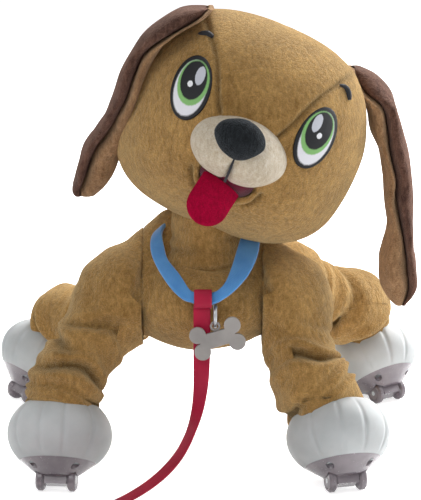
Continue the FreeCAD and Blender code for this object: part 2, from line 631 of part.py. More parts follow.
# ---------------------------------------------------------------- ring and tag
# The ring's top wire runs through the eyelet; the tag's hook hangs on the ring's low front.
ring_mid = eyelet_world + Rotation(X_AXIS, -size("ring_lean")).multVec(
    Vector(0, 0, -size("ring_round")))
subpart(torus("ring", "Sizes.ring_round", "Sizes.ring_wire",
              Placement(ring_mid, towards(X_AXIS))), "split_ring")
hook_mid = ring_mid + Rotation(X_AXIS, -size("hook_lean")).multVec(
    Vector(0, 0, -size("ring_round")))
tag_frame = Placement(hook_mid + Vector(size("tag_side"), -size("tag_front"), -size("tag_drop")),
                      Rotation(Y_AXIS, -size("tag_lean")) * Rotation(X_AXIS, 90))
tag_pieces = [box("tag_bar", "2 * Sizes.tag_half", "Sizes.tag_neck", "Sizes.tag_thick",
                  tag_frame * at(-size("tag_half"), -size("tag_neck") / 2,
                                 -size("tag_thick") / 2))]
for number, (across, along) in enumerate(((-1, -1), (-1, 1), (1, -1), (1, 1))):
    tag_pieces.append(cylinder(f"tag_lobe{number}", "Sizes.tag_lobe", "Sizes.tag_thick",
                               tag_frame * at(across * size("tag_half"),
                                              along * size("tag_lobe_rise"),
                                              -size("tag_thick") / 2)))
tag_pieces.append(torus("tag_hook", "Sizes.hook_round", "Sizes.hook_wire",
                        Placement(hook_mid, towards(Y_AXIS))))
subpart(fuse("tag_all", *tag_pieces), "bone_tag")

# ---------------------------------------------------------------- leash
# Flat ribbon from the collar to a loose coil on the floor, with a sewn hand loop at its end.
# Its free stretch is a plain round rod of the ribbon's own cross-section area.
ribbon_area = size("ribbon_wide") * size("ribbon_thick")
rod_round = math.sqrt(ribbon_area / math.pi)
LEASH_ROUTE = [
    Vector(0, -89, 111.6), Vector(0, -88.5, 86), Vector(-0.6, -91, 59),
    Vector(-4.5, -102, 42), Vector(-14, -117, 26), Vector(-31, -135, 15),
    Vector(-54, -152, 8), Vector(-78, -167, 5),
]


def rounded_path(points):
    """Straight runs joined by tangent arcs, each as large as its two runs allow."""
    edges = []
    radii = []
    start = points[0]
    for before, corner, after in zip(points, points[1:], points[2:]):
        back = unit(before - corner)
        ahead = unit(after - corner)
        turn = math.pi - back.getAngle(ahead)
        shorter = min((before - corner).Length, (after - corner).Length)
        reach = 0.45 * shorter
        radius = reach / math.tan(turn / 2)
        radii.append(radius)
        enter = corner + back * reach
        leave = corner + ahead * reach
        middle = corner + unit(back + ahead) * (radius / math.cos(turn / 2) - radius)
        edges.append(Part.LineSegment(start, enter).toShape())
        edges.append(Part.Arc(enter, middle, leave).toShape())
        start = leave
    edges.append(Part.LineSegment(start, points[-1]).toShape())
    return Part.Wire(edges), radii


leash_path, leash_radii = rounded_path(LEASH_ROUTE)
profile = Part.Wire(Part.makeCircle(rod_round, LEASH_ROUTE[0], LEASH_ROUTE[1] - LEASH_ROUTE[0]))
leash = doc.addObject("Part::Feature", "leash_rod")
leash.Shape = leash_path.makePipeShell([profile], True, True)
subpart(leash, "leash_strap")
print("leash arc radii", [round(radius, 1) for radius in leash_radii],
      "length", round(leash_path.Length, 1),
      "volume against section times length",
      round(leash.Shape.Volume / (ribbon_area * leash_path.Length), 4))

coil_at = at(size("coil_side"), size("coil_front"), 0)
coil = cut("coil_all", cylinder("coil_form", "Sizes.coil_out", "Sizes.ribbon_wide", coil_at),
           cylinder("coil_eye", "Sizes.coil_in", "Sizes.ribbon_wide", coil_at))
subpart(coil, "leash_coil")

# The hand loop stands on the ribbon's edge on top of the coil.
loop_at = at(size("coil_side"), size("coil_front"), 1.5 * size("ribbon_wide"))
loop_out = ellipse("loop_out", "Sizes.handle_long", "Sizes.handle_wide", loop_at)
loop_in = ellipse("loop_in", "Sizes.handle_long - Sizes.ribbon_thick",
                  "Sizes.handle_wide - Sizes.ribbon_thick", loop_at)
subpart(cut("loop_all", prism("loop_full", loop_out, "Sizes.ribbon_wide"),
            prism("loop_space", loop_in, "Sizes.ribbon_wide")), "leash_handle")

# ---------------------------------------------------------------- check and write
doc.recompute()
for item in doc.Objects:
    if {"Invalid", "Error"} & set(item.State):
        raise RuntimeError(f"{item.Label}: {item.State}")
os.makedirs("parts", exist_ok=True)
for node, item in SUBPARTS:
    if item.Shape.isNull() or not item.Shape.isValid():
        raise RuntimeError(f"{node}: bad shape")
    item.Shape.exportStep(f"parts/{node}.step")
    bounds = item.Shape.BoundBox
    print(f"{node:24s} solids {len(item.Shape.Solids):2d} volume {item.Shape.Volume:10.1f}  "
          f"x {bounds.XMin:7.1f} {bounds.XMax:7.1f}  y {bounds.YMin:7.1f} {bounds.YMax:7.1f}  "
          f"z {bounds.ZMin:7.1f} {bounds.ZMax:7.1f}")
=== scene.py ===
import json
import math

import bpy
import numpy as np
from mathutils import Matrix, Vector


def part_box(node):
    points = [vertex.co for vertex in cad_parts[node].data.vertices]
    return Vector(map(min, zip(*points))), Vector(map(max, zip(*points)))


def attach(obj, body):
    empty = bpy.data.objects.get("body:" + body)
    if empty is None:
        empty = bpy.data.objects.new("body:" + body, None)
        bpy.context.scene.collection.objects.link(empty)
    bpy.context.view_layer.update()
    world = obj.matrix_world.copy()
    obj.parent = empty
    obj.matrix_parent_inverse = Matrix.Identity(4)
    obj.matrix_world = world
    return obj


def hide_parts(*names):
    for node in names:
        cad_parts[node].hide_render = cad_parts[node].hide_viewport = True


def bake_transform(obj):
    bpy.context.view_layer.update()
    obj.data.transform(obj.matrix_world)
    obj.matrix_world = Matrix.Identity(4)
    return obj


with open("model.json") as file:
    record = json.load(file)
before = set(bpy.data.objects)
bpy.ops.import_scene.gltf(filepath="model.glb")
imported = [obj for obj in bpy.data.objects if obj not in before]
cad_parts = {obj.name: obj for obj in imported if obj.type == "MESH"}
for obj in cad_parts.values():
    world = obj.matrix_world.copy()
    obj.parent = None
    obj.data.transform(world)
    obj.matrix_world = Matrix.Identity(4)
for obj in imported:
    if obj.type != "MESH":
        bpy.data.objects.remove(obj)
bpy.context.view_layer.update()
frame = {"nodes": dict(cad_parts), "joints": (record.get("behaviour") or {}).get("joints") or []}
joints = {joint["name"]: joint for joint in frame["joints"]}


# ================================================================ studio
# A long lens looks a little down at the puppy, which stands on a pale floor between soft
# boxes: a weak one in front, stronger ones beside and behind. Floor and sky show white.
def linear(colour):
    """sRGB hex value as the linear colour that a shader takes."""
    parts = [int(colour[start:start + 2], 16) / 255 for start in (1, 3, 5)]
    return tuple(part / 12.92 if part <= 0.04045 else ((part + 0.055) / 1.055) ** 2.4
                 for part in parts) + (1.0,)


def add(tree, kind, inputs=None, **settings):
    """One node with its settings; an input is a value or another node's output socket."""
    made = tree.nodes.new(kind)
    for name, value in settings.items():
        setattr(made, name, value)
    for name, value in (inputs or {}).items():
        if isinstance(value, bpy.types.NodeSocket):
            tree.links.new(value, made.inputs[name])
        else:
            made.inputs[name].default_value = value
    return made


def fresh(name):
    """New material with nothing in its node tree yet, and that tree."""
    material = bpy.data.materials.new(name)
    material.use_nodes = True
    material.node_tree.nodes.clear()
    return material, material.node_tree


def met_by(tree, *rays):
    """One where any of the named kinds of ray meets the surface, otherwise nil."""
    path = add(tree, "ShaderNodeLightPath")
    met = path.outputs[rays[0]]
    for ray in rays[1:]:
        met = add(tree, "ShaderNodeMath", {0: met, 1: path.outputs[ray]}, operation="MAXIMUM")
        met = met.outputs[0]
    return met


camera = bpy.data.objects.new("camera", bpy.data.cameras.new("camera"))
camera.data.lens = 152.6
camera.location = (0.005, -1.295, 0.400)
camera.rotation_euler = (math.radians(78.04), 0, 0)
bpy.context.scene.collection.objects.link(camera)
bpy.context.scene.camera = camera
bpy.context.scene.view_settings.view_transform = "Standard"


def soft_box(name, place, target, size, watts):
    """Square lamp at place, turned towards target."""
    lamp = bpy.data.lights.new(name, "AREA")
    lamp.size = size
    lamp.energy = watts
    box = bpy.data.objects.new(name, lamp)
    way = np.array(target) - np.array(place)
    box.location = place
    box.rotation_euler = (math.atan2(np.hypot(way[0], way[1]), -way[2]), 0,
                          math.atan2(way[1], way[0]) - math.pi / 2)
    bpy.context.scene.collection.objects.link(box)


soft_box("front_box", (-0.8, -1.3, 1.5), (0, 0, 0.15), 1.0, 10)
soft_box("side_box", (1.4, 0.75, 0.9), (0, 0, 0.15), 0.9, 34)
soft_box("back_box", (0.6, 1.2, 1.5), (0, 0, 0.15), 1.0, 50)

world = bpy.data.worlds.new("studio")
world.use_nodes = True
bpy.context.scene.world = world
world.node_tree.nodes.clear()
# The sky lights the puppy dimly, and shows as white to the camera and in reflections.
seen = met_by(world.node_tree, "Is Camera Ray", "Is Glossy Ray", "Is Transmission Ray")
level = add(world.node_tree, "ShaderNodeMapRange", {"Value": seen, "To Min": 0.36,
                                                    "To Max": 1.0})
sky = add(world.node_tree, "ShaderNodeBackground", {"Color": linear("#FFFFFF"),
                                                    "Strength": level.outputs[0]})
add(world.node_tree, "ShaderNodeOutputWorld", {"Surface": sky.outputs[0]})

floor_mesh = bpy.data.meshes.new("floor")
floor_mesh.from_pydata([(-6, -4, 0), (6, -4, 0), (6, 12, 0), (-6, 12, 0)], [], [(0, 1, 2, 3)])
floor = bpy.data.objects.new("floor", floor_mesh)
bpy.context.scene.collection.objects.link(floor)
paper, tree = fresh("studio_paper")
# A glow that only the camera and reflections meet keeps the paper white under soft shadows.
glow = add(tree, "ShaderNodeEmission", {"Color": linear("#FFFFFF"), "Strength": 0.72})
matt = add(tree, "ShaderNodeBsdfDiffuse", {"Color": linear("#F2F2F2")})
nothing = add(tree, "ShaderNodeEmission", {"Strength": 0.0})
extra = add(tree, "ShaderNodeMixShader", {"Fac": met_by(tree, "Is Camera Ray", "Is Glossy Ray"),
                                          1: nothing.outputs[0], 2: glow.outputs[0]})
whole = add(tree, "ShaderNodeAddShader", {0: matt.outputs[0], 1: extra.outputs[0]})
add(tree, "ShaderNodeOutputMaterial", {"Surface": whole.outputs[0]})
floor_mesh.materials.append(paper)

# ================================================================ ribbon leash
# A woven satin ribbon, 10 mm wide, hangs from the collar, runs off over the floor and ends
# in a loose coil on its edge, with a sewn hand loop that stands on the coil.
MM = 0.001
RIBBON_WIDE = 10.0
RIBBON_THICK = 0.9
COIL_MIDDLE = np.array([-104.0, -212.0])
ROUTE = [(0, -89, 111.6), (0, -88.5, 86), (-0.6, -91, 59), (-4.5, -102, 42), (-14, -117, 26),
         (-31, -135, 15), (-54, -152, 8), (-78, -167, 5)]
COIL_START, COIL_STEP, COIL_STEPS = 88, 30.0, 36
coil_turn = np.radians(COIL_START + COIL_STEP * np.arange(COIL_STEPS))
coil_round = np.linspace(46, 24, len(coil_turn))
coil_line = np.stack([COIL_MIDDLE[0] + coil_round * np.cos(coil_turn),
                      COIL_MIDDLE[1] + coil_round * np.sin(coil_turn),
                      np.full(len(coil_turn), 5.0)], 1)
rise_turn = coil_turn[-1] + np.radians([30, 60, 90, 115])
rise_round = np.array([23, 21.5, 20, 18.5])
rise_line = np.stack([COIL_MIDDLE[0] + rise_round * np.cos(rise_turn),
                      COIL_MIDDLE[1] + rise_round * np.sin(rise_turn),
                      np.array([6.5, 10, 13.5, 15])], 1)
route_points = np.concatenate([np.array(ROUTE), coil_line, rise_line]) * MM


def smooth_line(points):
    """Points along the NURBS spline of order 3 whose control points are the route's."""
    curve = bpy.data.curves.new("route", "CURVE")
    curve.dimensions = "3D"
    curve.resolution_u = 12
    spline = curve.splines.new("NURBS")
    spline.points.add(len(points) - 1)
    for number, point in enumerate(points):
        spline.points[number].co = (*point, 1)
    spline.order_u = 3
    spline.use_endpoint_u = True
    line = bpy.data.objects.new("route", curve)
    bpy.context.scene.collection.objects.link(line)
    read = bpy.data.meshes.new_from_object(line)
    found = np.zeros(len(read.vertices) * 3)
    read.vertices.foreach_get("co", found)
    bpy.data.objects.remove(line)
    bpy.data.curves.remove(curve)
    bpy.data.meshes.remove(read)
    return found.reshape(-1, 3)


def unit(vectors):
    """Vectors with their directions kept and each length made one."""
    return vectors / np.maximum(np.linalg.norm(vectors, axis=-1, keepdims=True), 1e-12)


def skin(name, rings, loop=False):
    """Mesh over a grid (ring, place, xyz) in metres: joined round every ring, and either from
    the last ring back to the first (loop) or closed by a point at both ends."""
    count, places = rings.shape[:2]
    here = np.arange(count * places).reshape(count, places)
    ahead = np.roll(here, -1, axis=1)
    if loop:
        here_next, ahead_next = np.roll(here, -1, axis=0), np.roll(ahead, -1, axis=0)
    else:
        here_next, ahead_next = here[1:], ahead[1:]
        here, ahead = here[:-1], ahead[:-1]
    faces = np.stack([here, ahead, ahead_next, here_next], -1).reshape(-1, 4).tolist()
    points = rings.reshape(-1, 3)
    if not loop:
        points = np.concatenate([points, rings[:1].mean(1), rings[-1:].mean(1)])
        first, last = count * places, count * places + 1
        low, high = here[0], here_next[-1]
        faces += np.stack([np.roll(low, -1), low, np.full(places, first)], 1).tolist()
        faces += np.stack([high, np.roll(high, -1), np.full(places, last)], 1).tolist()
    corner = points[np.array([face[:3] for face in faces])]
    volume = np.einsum("ij,ij->i", corner[:, 0] - points.mean(0),
                       np.cross(corner[:, 1] - corner[:, 0], corner[:, 2] - corner[:, 0])).sum()
    if volume < 0:
        faces = [face[::-1] for face in faces]
    mesh = bpy.data.meshes.new(name)
    mesh.from_pydata(points.tolist(), [], faces)
    mesh.polygons.foreach_set("use_smooth", [True] * len(mesh.polygons))
    mesh.update()
    piece = bpy.data.objects.new(name, mesh)
    bpy.context.scene.collection.objects.link(piece)
    return piece


def round_steps(count):
    """Angles of equal steps once round, without the last, which is the first again."""
    return np.linspace(0, 2 * np.pi, count, endpoint=False)


def strap(name, middles, halves, thick, loop=False):
    """Flat strap in millimetres: at each middle, a section that is a flattened oval, half as
    wide as the vector in halves and thick across, with nearly square edges."""
    ahead = np.roll(middles, -1, axis=0) - np.roll(middles, 1, axis=0)
    if not loop:
        ahead = np.gradient(middles, axis=0)
    normals = unit(np.cross(ahead, halves))
    angle = round_steps(20)
    side = np.sign(np.cos(angle)) * np.abs(np.cos(angle)) ** 0.35
    lift = np.sign(np.sin(angle)) * np.abs(np.sin(angle)) ** 0.6
    rings = (middles[:, None] + halves[:, None] * side[None, :, None]
             + normals[:, None] * lift[None, :, None] * thick / 2)
    return skin(name, rings * MM, loop=loop)


def woven(name, face, edge, pitch, rough=0.55, sheen=0.3):
    """Woven cloth: diagonal waves a thread apart give the weave; a slow noise fades it."""
    material, tree = fresh(name)
    place = add(tree, "ShaderNodeTexCoord").outputs["Object"]
    slow = add(tree, "ShaderNodeTexNoise", {"Vector": place, "Scale": 90.0, "Detail": 3.0})
    fine = add(tree, "ShaderNodeTexNoise", {"Vector": place, "Scale": 1000 / pitch,
                                            "Detail": 2.0})
    rows = add(tree, "ShaderNodeTexWave", {"Vector": place, "Scale": 320 / pitch,
                                           "Distortion": 1.2, "Detail": 1.0},
               bands_direction="DIAGONAL")
    blend = add(tree, "ShaderNodeMapRange", {"Value": slow.outputs["Fac"], "From Min": 0.3,
                                             "From Max": 0.7, "To Min": 0.0, "To Max": 0.55})
    tone = add(tree, "ShaderNodeMix", {"Factor": blend.outputs[0], "A": linear(face),
                                       "B": linear(edge)}, data_type="RGBA")
    speck = add(tree, "ShaderNodeMix", {"Factor": 0.1, "A": tone.outputs["Result"],
                                        "B": fine.outputs["Color"]},
                data_type="RGBA", blend_type="OVERLAY")
    height = add(tree, "ShaderNodeMath", {0: rows.outputs["Fac"], 1: fine.outputs["Fac"]})
    bump = add(tree, "ShaderNodeBump", {"Height": height.outputs[0], "Strength": 0.35,
                                        "Distance": 0.0003})
    shader = add(tree, "ShaderNodeBsdfPrincipled", {
        "Base Color": speck.outputs["Result"], "Roughness": rough, "Normal": bump.outputs[0],
        "Sheen Weight": sheen, "Sheen Roughness": 0.4, "Specular IOR Level": 0.3})
    add(tree, "ShaderNodeOutputMaterial", {"Surface": shader.outputs[0]})
    return material


# Satin ribbon: bright crimson face with a fine weave, wine-red where it folds into shade.
red_satin = woven("crimson_satin_ribbon", "#B40038", "#8E002C", 0.5, 0.45, 0.06)
ribbon_line = smooth_line(route_points) / MM
ribbon_ahead = unit(np.gradient(ribbon_line, axis=0))
ribbon_steps = np.linalg.norm(np.diff(ribbon_line, axis=0), axis=1)
ribbon_run = np.concatenate([[0], np.cumsum(ribbon_steps)])
hung_way = unit(np.array([0.42, -0.9, 0.0]))
flat_way = np.cross(ribbon_ahead, [0, 0, 1.0])
flat_way = unit(flat_way * np.where(flat_way @ hung_way < 0, -1, 1)[:, None])
laid = np.clip((ribbon_run - 90) / 60, 0, 1)[:, None]
flat_way = unit(hung_way + (flat_way - hung_way) * laid)
on_floor = np.clip((ribbon_run - 22) / 55, 0, 1)[:, None]
on_edge = np.clip((ribbon_run - 172) / 40, 0, 1)[:, None]
wide_way = (1 - on_floor) * np.array([1.0, 0, 0]) + on_floor * flat_way
wide_way = (1 - on_edge) * wide_way + on_edge * np.array([0, 0, 1.0])
wide_way = unit(wide_way - ribbon_ahead * np.sum(wide_way * ribbon_ahead, axis=1, keepdims=True))
ribbon = strap("leash_ribbon", ribbon_line, wide_way * RIBBON_WIDE / 2, RIBBON_THICK)
ribbon.data.materials.append(red_satin)
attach(ribbon, "torso")
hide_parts("leash_strap", "leash_coil")

hand_turn = round_steps(120)
hand_line = np.stack([COIL_MIDDLE[0] + 43 * np.cos(hand_turn),
                      COIL_MIDDLE[1] + 17 * np.sin(hand_turn),
                      np.full(120, 15.0)], 1)
hand_loop = strap("leash_hand_loop", hand_line, np.tile([0, 0, RIBBON_WIDE / 2], (120, 1)), 1.1,
                  loop=True)
hand_loop.data.materials.append(red_satin)
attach(hand_loop, "torso")
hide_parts("leash_handle")

# The ribbon's top end is folded round the collar's lowest point and stitched to itself.
fold_turn = round_steps(60)
fold_line = np.stack([np.full(60, 0.6), -91.2 - 2.9 * np.cos(fold_turn) + 0.9 * np.sin(fold_turn),
                      115.9 + 5.0 * np.sin(fold_turn)], 1)
ribbon_fold = strap("leash_fold", fold_line, np.tile([5.2, 0, 0], (60, 1)), 0.9, loop=True)
ribbon_fold.data.materials.append(red_satin)
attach(ribbon_fold, "torso")
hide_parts("leash_loop")


# ================================================================ torso and neck
# The body is one stuffed bag of short-pile plush: chest, barrel and neck are panels of the
# same cloth, drawn in where the legs are sewn on and wrinkled round the neck.
def cast(starts, ways, form, reach):
    """Where rays leave a form: the span from inside to reach is halved until it is nil."""
    near = np.zeros(ways.shape[:-1])
    far = np.full(ways.shape[:-1], float(reach))
    for _ in range(20):
        middle = (near + far) / 2
        outside = form(starts + ways * middle[..., None]) > 0
        far = np.where(outside, middle, far)
        near = np.where(outside, near, middle)
    return near


def egg(points, centre, half):
    """Distance to an ellipsoid: its scaled radius less one, put back to millimetres."""
    scaled = (points - np.array(centre, float)) / np.array(half, float)
    ratio = np.linalg.norm(scaled, axis=-1)
    slope = np.linalg.norm(scaled / np.array(half, float), axis=-1)
    return ratio * (ratio - 1) / np.maximum(slope, 1e-9)


def limb(points, start, end, start_round, end_round):
    """Distance to a tapered round bar between two points."""
    start, end = np.array(start, float), np.array(end, float)
    share = np.clip((points - start) @ (end - start) / ((end - start) @ (end - start)), 0, 1)
    near = start + share[..., None] * (end - start)
    return (np.linalg.norm(points - near, axis=-1)
            - start_round - (end_round - start_round) * share)


def melt(first, second, width):
    """Smooth union of two distances, rounded where they are closer than width."""
    share = np.clip(0.5 + 0.5 * (second - first) / width, 0, 1)
    return second * (1 - share) + first * share - width * share * (1 - share)


def ripple(points, size):
    """Slow lumps of the stuffing: a few sine waves of different slant, between -1 and 1."""
    x, y, z = (points[..., axis] / size for axis in range(3))
    return (np.sin(x * 1.7 + y * 0.9 + 0.4) + np.sin(y * 1.3 - z * 1.9 + 1.7)
            + np.sin(z * 1.5 + x * 1.1 + 2.9) + np.sin(x * 2.3 - y * 2.1 + z * 1.2)) / 4


def away(points, line):
    """Distance from each point to the nearest point of a densely sampled line."""
    flat = points.reshape(-1, points.shape[-1])
    square = (flat ** 2).sum(1)[:, None] + (line ** 2).sum(1)[None] - 2 * flat @ line.T
    return np.sqrt(np.maximum(square.min(1), 0)).reshape(points.shape[:-1])


def dense(points, count=80):
    """Smooth line through given points: cubic pieces with slopes from each point's neighbours."""
    points = np.array(points, float)
    slopes = np.gradient(points, axis=0)
    place = np.linspace(0, len(points) - 1, count)
    index = np.minimum(place.astype(int), len(points) - 2)
    t = (place - index)[:, None]
    a, b, m, n = points[index], points[index + 1], slopes[index], slopes[index + 1]
    return ((2 * t ** 3 - 3 * t ** 2 + 1) * a + (t ** 3 - 2 * t ** 2 + t) * m
            + (3 * t ** 2 - 2 * t ** 3) * b + (t ** 3 - t ** 2) * n)


def mark(piece, name, values):
    """Store one number per point, with nil for the closing points at the ends."""
    padded = np.zeros(len(piece.data.vertices))
    padded[: values.size] = values.ravel()
    piece.data.attributes.new(name, "FLOAT", "POINT").data.foreach_set("value", padded)


def plush(name, lit, shade, glow, pile=1.0, sheen=0.75):
    """Short-pile plush: tufts about a millimetre across stand up or lie over, so the cloth
    is speckled, paler where it turns away, with shade painted into seams and folds by a mark."""
    material, tree = fresh(name)
    place = add(tree, "ShaderNodeTexCoord").outputs["Object"]
    lean = add(tree, "ShaderNodeMapping", {"Vector": place, "Scale": (1.0, 1.0, 0.5)})
    tufts = add(tree, "ShaderNodeTexNoise", {"Vector": lean.outputs[0], "Scale": 420 / pile,
                                             "Detail": 4.0, "Roughness": 0.65})
    hairs = add(tree, "ShaderNodeTexNoise", {"Vector": place, "Scale": 1300 / pile,
                                             "Detail": 2.0, "Roughness": 0.7})
    lay = add(tree, "ShaderNodeTexNoise", {"Vector": place, "Scale": 38.0, "Detail": 3.0,
                                           "Roughness": 0.55})
    mixed = add(tree, "ShaderNodeMath", {0: tufts.outputs["Fac"], 1: 1.6,
                                         2: lay.outputs["Fac"]}, operation="MULTIPLY_ADD")
    share = add(tree, "ShaderNodeMapRange", {"Value": mixed.outputs[0], "From Min": 0.95,
                                             "From Max": 1.65})
    tone = add(tree, "ShaderNodeMix", {"Factor": share.outputs[0], "A": linear(shade),
                                       "B": linear(lit)}, data_type="RGBA")
    speck = add(tree, "ShaderNodeMix", {"Factor": 0.7, "A": tone.outputs["Result"],
                                        "B": hairs.outputs["Fac"]},
                data_type="RGBA", blend_type="OVERLAY")
    # Painted shade: the mark read here darkens the colour down to 0.38 of itself in seams and
    # folds.
    crease_shade = add(tree, "ShaderNodeAttribute", attribute_name="crease_shade").outputs["Fac"]
    dark = add(tree, "ShaderNodeMapRange", {"Value": crease_shade, "To Min": 1.0, "To Max": 0.38})
    tint = add(tree, "ShaderNodeMix", {"Factor": 1.0, "A": speck.outputs["Result"],
                                       "B": dark.outputs[0]},
               data_type="RGBA", blend_type="MULTIPLY")
    height = add(tree, "ShaderNodeMath", {0: tufts.outputs["Fac"], 1: hairs.outputs["Fac"]})
    bump = add(tree, "ShaderNodeBump", {"Height": height.outputs[0], "Strength": 1.0,
                                        "Distance": 0.0013})
    shader = add(tree, "ShaderNodeBsdfPrincipled", {
        "Base Color": tint.outputs["Result"], "Roughness": 0.95, "Normal": bump.outputs[0],
        "Specular IOR Level": 0.1, "Sheen Weight": sheen, "Sheen Roughness": 0.45,
        "Sheen Tint": linear(glow)})
    add(tree, "ShaderNodeOutputMaterial", {"Surface": shader.outputs[0]})
    return material


tan_plush = plush("tan_short_pile_plush", "#C59A5C", "#8F6A38", "#F2DFB4")
SEAM_SIDE = 35.8


def shoulder_slope(points, way):
    """Slope from the neck down to a front leg."""
    return limb(points, (way * 15, -26, 138), (way * 54, -45, 104), 19, 24)


def bag(points):
    """Chest, barrel and shoulders melted together and flattened at both leg seams."""
    both = melt(egg(points, (0, -37, 105), (50, 43, 31.5)),
                egg(points, (0, 15, 102), (45, 88, 33)), 10)
    both = melt(both, egg(points, (0, 56, 92), (47, 34, 31)), 10)
    both = melt(melt(both, shoulder_slope(points, 1), 9), shoulder_slope(points, -1), 9)
    flat = np.abs(points[..., 0]) - SEAM_SIDE - 0.6
    return -melt(-both, -flat, 2)


BAG_ROWS, BAG_STEPS = 150, 200
bend = np.linspace(0.03, np.pi - 0.03, BAG_ROWS)
bag_line = np.stack([np.zeros(BAG_ROWS), 11.5 - 91 * np.cos(bend), 105 - 3 * np.sin(bend / 2)], 1)
bag_turn = round_steps(BAG_STEPS)
bag_ways = np.stack([np.cos(bag_turn), np.zeros(BAG_STEPS), np.sin(bag_turn)], 1)
bag_ways = bag_ways[None].repeat(BAG_ROWS, 0)
bag_starts = bag_line[:, None].repeat(BAG_STEPS, 1)
bag_points = bag_starts + bag_ways * cast(bag_starts, bag_ways, bag, 70)[..., None]
tummy_seam = dense([(-17, -73, 88.5), (-11, -74.5, 87.4), (-5, -75, 87.2)], 30)
near_seam = np.exp(-(away(bag_points, tummy_seam) / 1.1) ** 2)
near_side = np.exp(-((np.abs(bag_points[..., 0]) - SEAM_SIDE) / 1.6) ** 2)
bag_points += bag_ways * (0.7 * ripple(bag_points, 13) - 1.1 * near_seam)[..., None]
torso = skin("torso_cover", bag_points * MM)
# Painted shade: darker along the tummy seam and, more lightly, along both leg seams.
mark(torso, "crease_shade", np.clip(0.75 * near_seam + 0.25 * near_side, 0, 1))
torso.data.materials.append(tan_plush)
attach(torso, "torso")
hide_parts("torso_plush")

# The neck is a sleeve of the same plush. It leans with the head and gathers in soft rings.
NECK_RINGS = [(113, 1.4, 0.5), (121, 2.0, -0.8), (129, 1.8, 0.9), (137, 1.6, -0.4),
              (145, 1.2, 0.6)]
NECK_ROWS, NECK_STEPS = 90, 160
rise = np.linspace(0, 1, NECK_ROWS)
neck_line = np.stack([4.5 * rise ** 1.5, -43 + 1.0 * rise, 98 + 64 * rise], 1)
neck_round = 35 - 14 * np.clip(rise * 1.35, 0, 1) ** 0.8
neck_angle = round_steps(NECK_STEPS)
neck_out = np.stack([np.cos(neck_angle), np.sin(neck_angle), np.zeros(NECK_STEPS)], 1)
neck_out = neck_out[None].repeat(NECK_ROWS, 0)
neck_points = neck_line[:, None] + neck_out * neck_round[:, None, None]
neck_fold = np.zeros(neck_points.shape[:2])
for height, deep, slant in NECK_RINGS:
    crease = height + slant * 3 * np.sin(neck_angle + slant)
    step = (neck_points[..., 2] - crease[None]) / 2.4
    neck_fold += deep * np.exp(-step ** 2) * (0.65 + 0.35 * np.cos(neck_angle * 2 + height)[None])
neck_points += neck_out * (1.0 - neck_fold + 0.8 * ripple(neck_points, 9))[..., None]
neck = skin("neck_cover", neck_points * MM)
# Painted shade: the plush darkens in the creases, as deep as each fold.
mark(neck, "crease_shade", np.clip(neck_fold / 3.2, 0, 1))
neck.data.materials.append(tan_plush)
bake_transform(neck)
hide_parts("neck_plush")

# ================================================================ collar, ring and tag
# A doubled band of brushed blue cloth, wide at the sides and drawn to a point in front by
# the leash.
COLLAR_OUTER = [(0.5, -92.8, 112.2), (-6, -92, 113.8), (-11.6, -90.7, 115.7),
                (-18.7, -86.7, 121.9), (-25.9, -77.4, 130.7), (-30.2, -66.6, 138.2),
                (-30.5, -54, 143), (-27.5, -40, 145), (-18, -24, 144.5), (2, -14, 143),
                (23, -22, 142), (32, -38, 143.5), (34.3, -52.4, 144.5), (34, -62, 141),
                (31.9, -72, 134.9), (26.4, -81.7, 126.8), (17.6, -88.7, 118.8),
                (8.2, -92, 113.4)]
COLLAR_INNER = [(0.5, -88.6, 118.8), (-6, -88, 119.6), (-9.8, -84.6, 123.6),
                (-13.5, -80.1, 128.3), (-20.1, -72, 134.9), (-22.6, -62, 141.1),
                (-24, -51, 147), (-21.5, -38, 150), (-14, -27, 149), (2, -19, 147.5),
                (18, -26, 146.5), (24, -38, 147), (24.2, -50, 147.6), (21.8, -62, 142.6),
                (17.7, -75.6, 132.1), (14.2, -83.5, 125), (11, -86.8, 121.4),
                (7.2, -88.4, 119.2)]


def ring_line(points, count):
    """Closed smooth line through points: the same cubic pieces, run past both ends."""
    wrapped = np.array(points[-3:] + points + points[:3], float)
    per_step = 40
    fine = dense(wrapped, (len(wrapped) - 1) * per_step + 1)
    fine = fine[3 * per_step:(3 + len(points)) * per_step + 1]
    travel = np.concatenate([[0], np.cumsum(np.linalg.norm(np.diff(fine, axis=0), axis=1))])
    share = np.linspace(0, len(fine) - 1, count, endpoint=False)
    return np.stack([np.interp(share, np.arange(len(fine)), fine[:, axis])
                     for axis in range(3)], 1)


outer, inner = ring_line(COLLAR_OUTER, 240), ring_line(COLLAR_INNER, 240)
collar = strap("collar_band", (outer + inner) / 2, (outer - inner) / 2, 2.6, loop=True)
blue_cloth = woven("brushed_blue_cloth", "#5F9EDC", "#3F7FC6", 0.9, 0.9, 0.6)
collar.data.materials.append(blue_cloth)
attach(collar, "torso")
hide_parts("collar")


def wire(name, line, radius, loop=False, sides=14):
    """Round wire in millimetres along a line: circles square to the line."""
    line = np.array(line, float)
    ahead = np.roll(line, -1, 0) - np.roll(line, 1, 0) if loop else np.gradient(line, axis=0)
    ahead = unit(ahead)
    side = unit(np.cross(ahead, np.array([0.31, 0.84, 0.45])))
    up = np.cross(ahead, side)
    angle = round_steps(sides)
    radius = np.broadcast_to(np.asarray(radius, float), (len(line),))
    rings = (line[:, None] + radius[:, None, None]
             * (side[:, None] * np.cos(angle)[None, :, None]
                + up[:, None] * np.sin(angle)[None, :, None]))
    return skin(name, rings * MM, loop=loop)


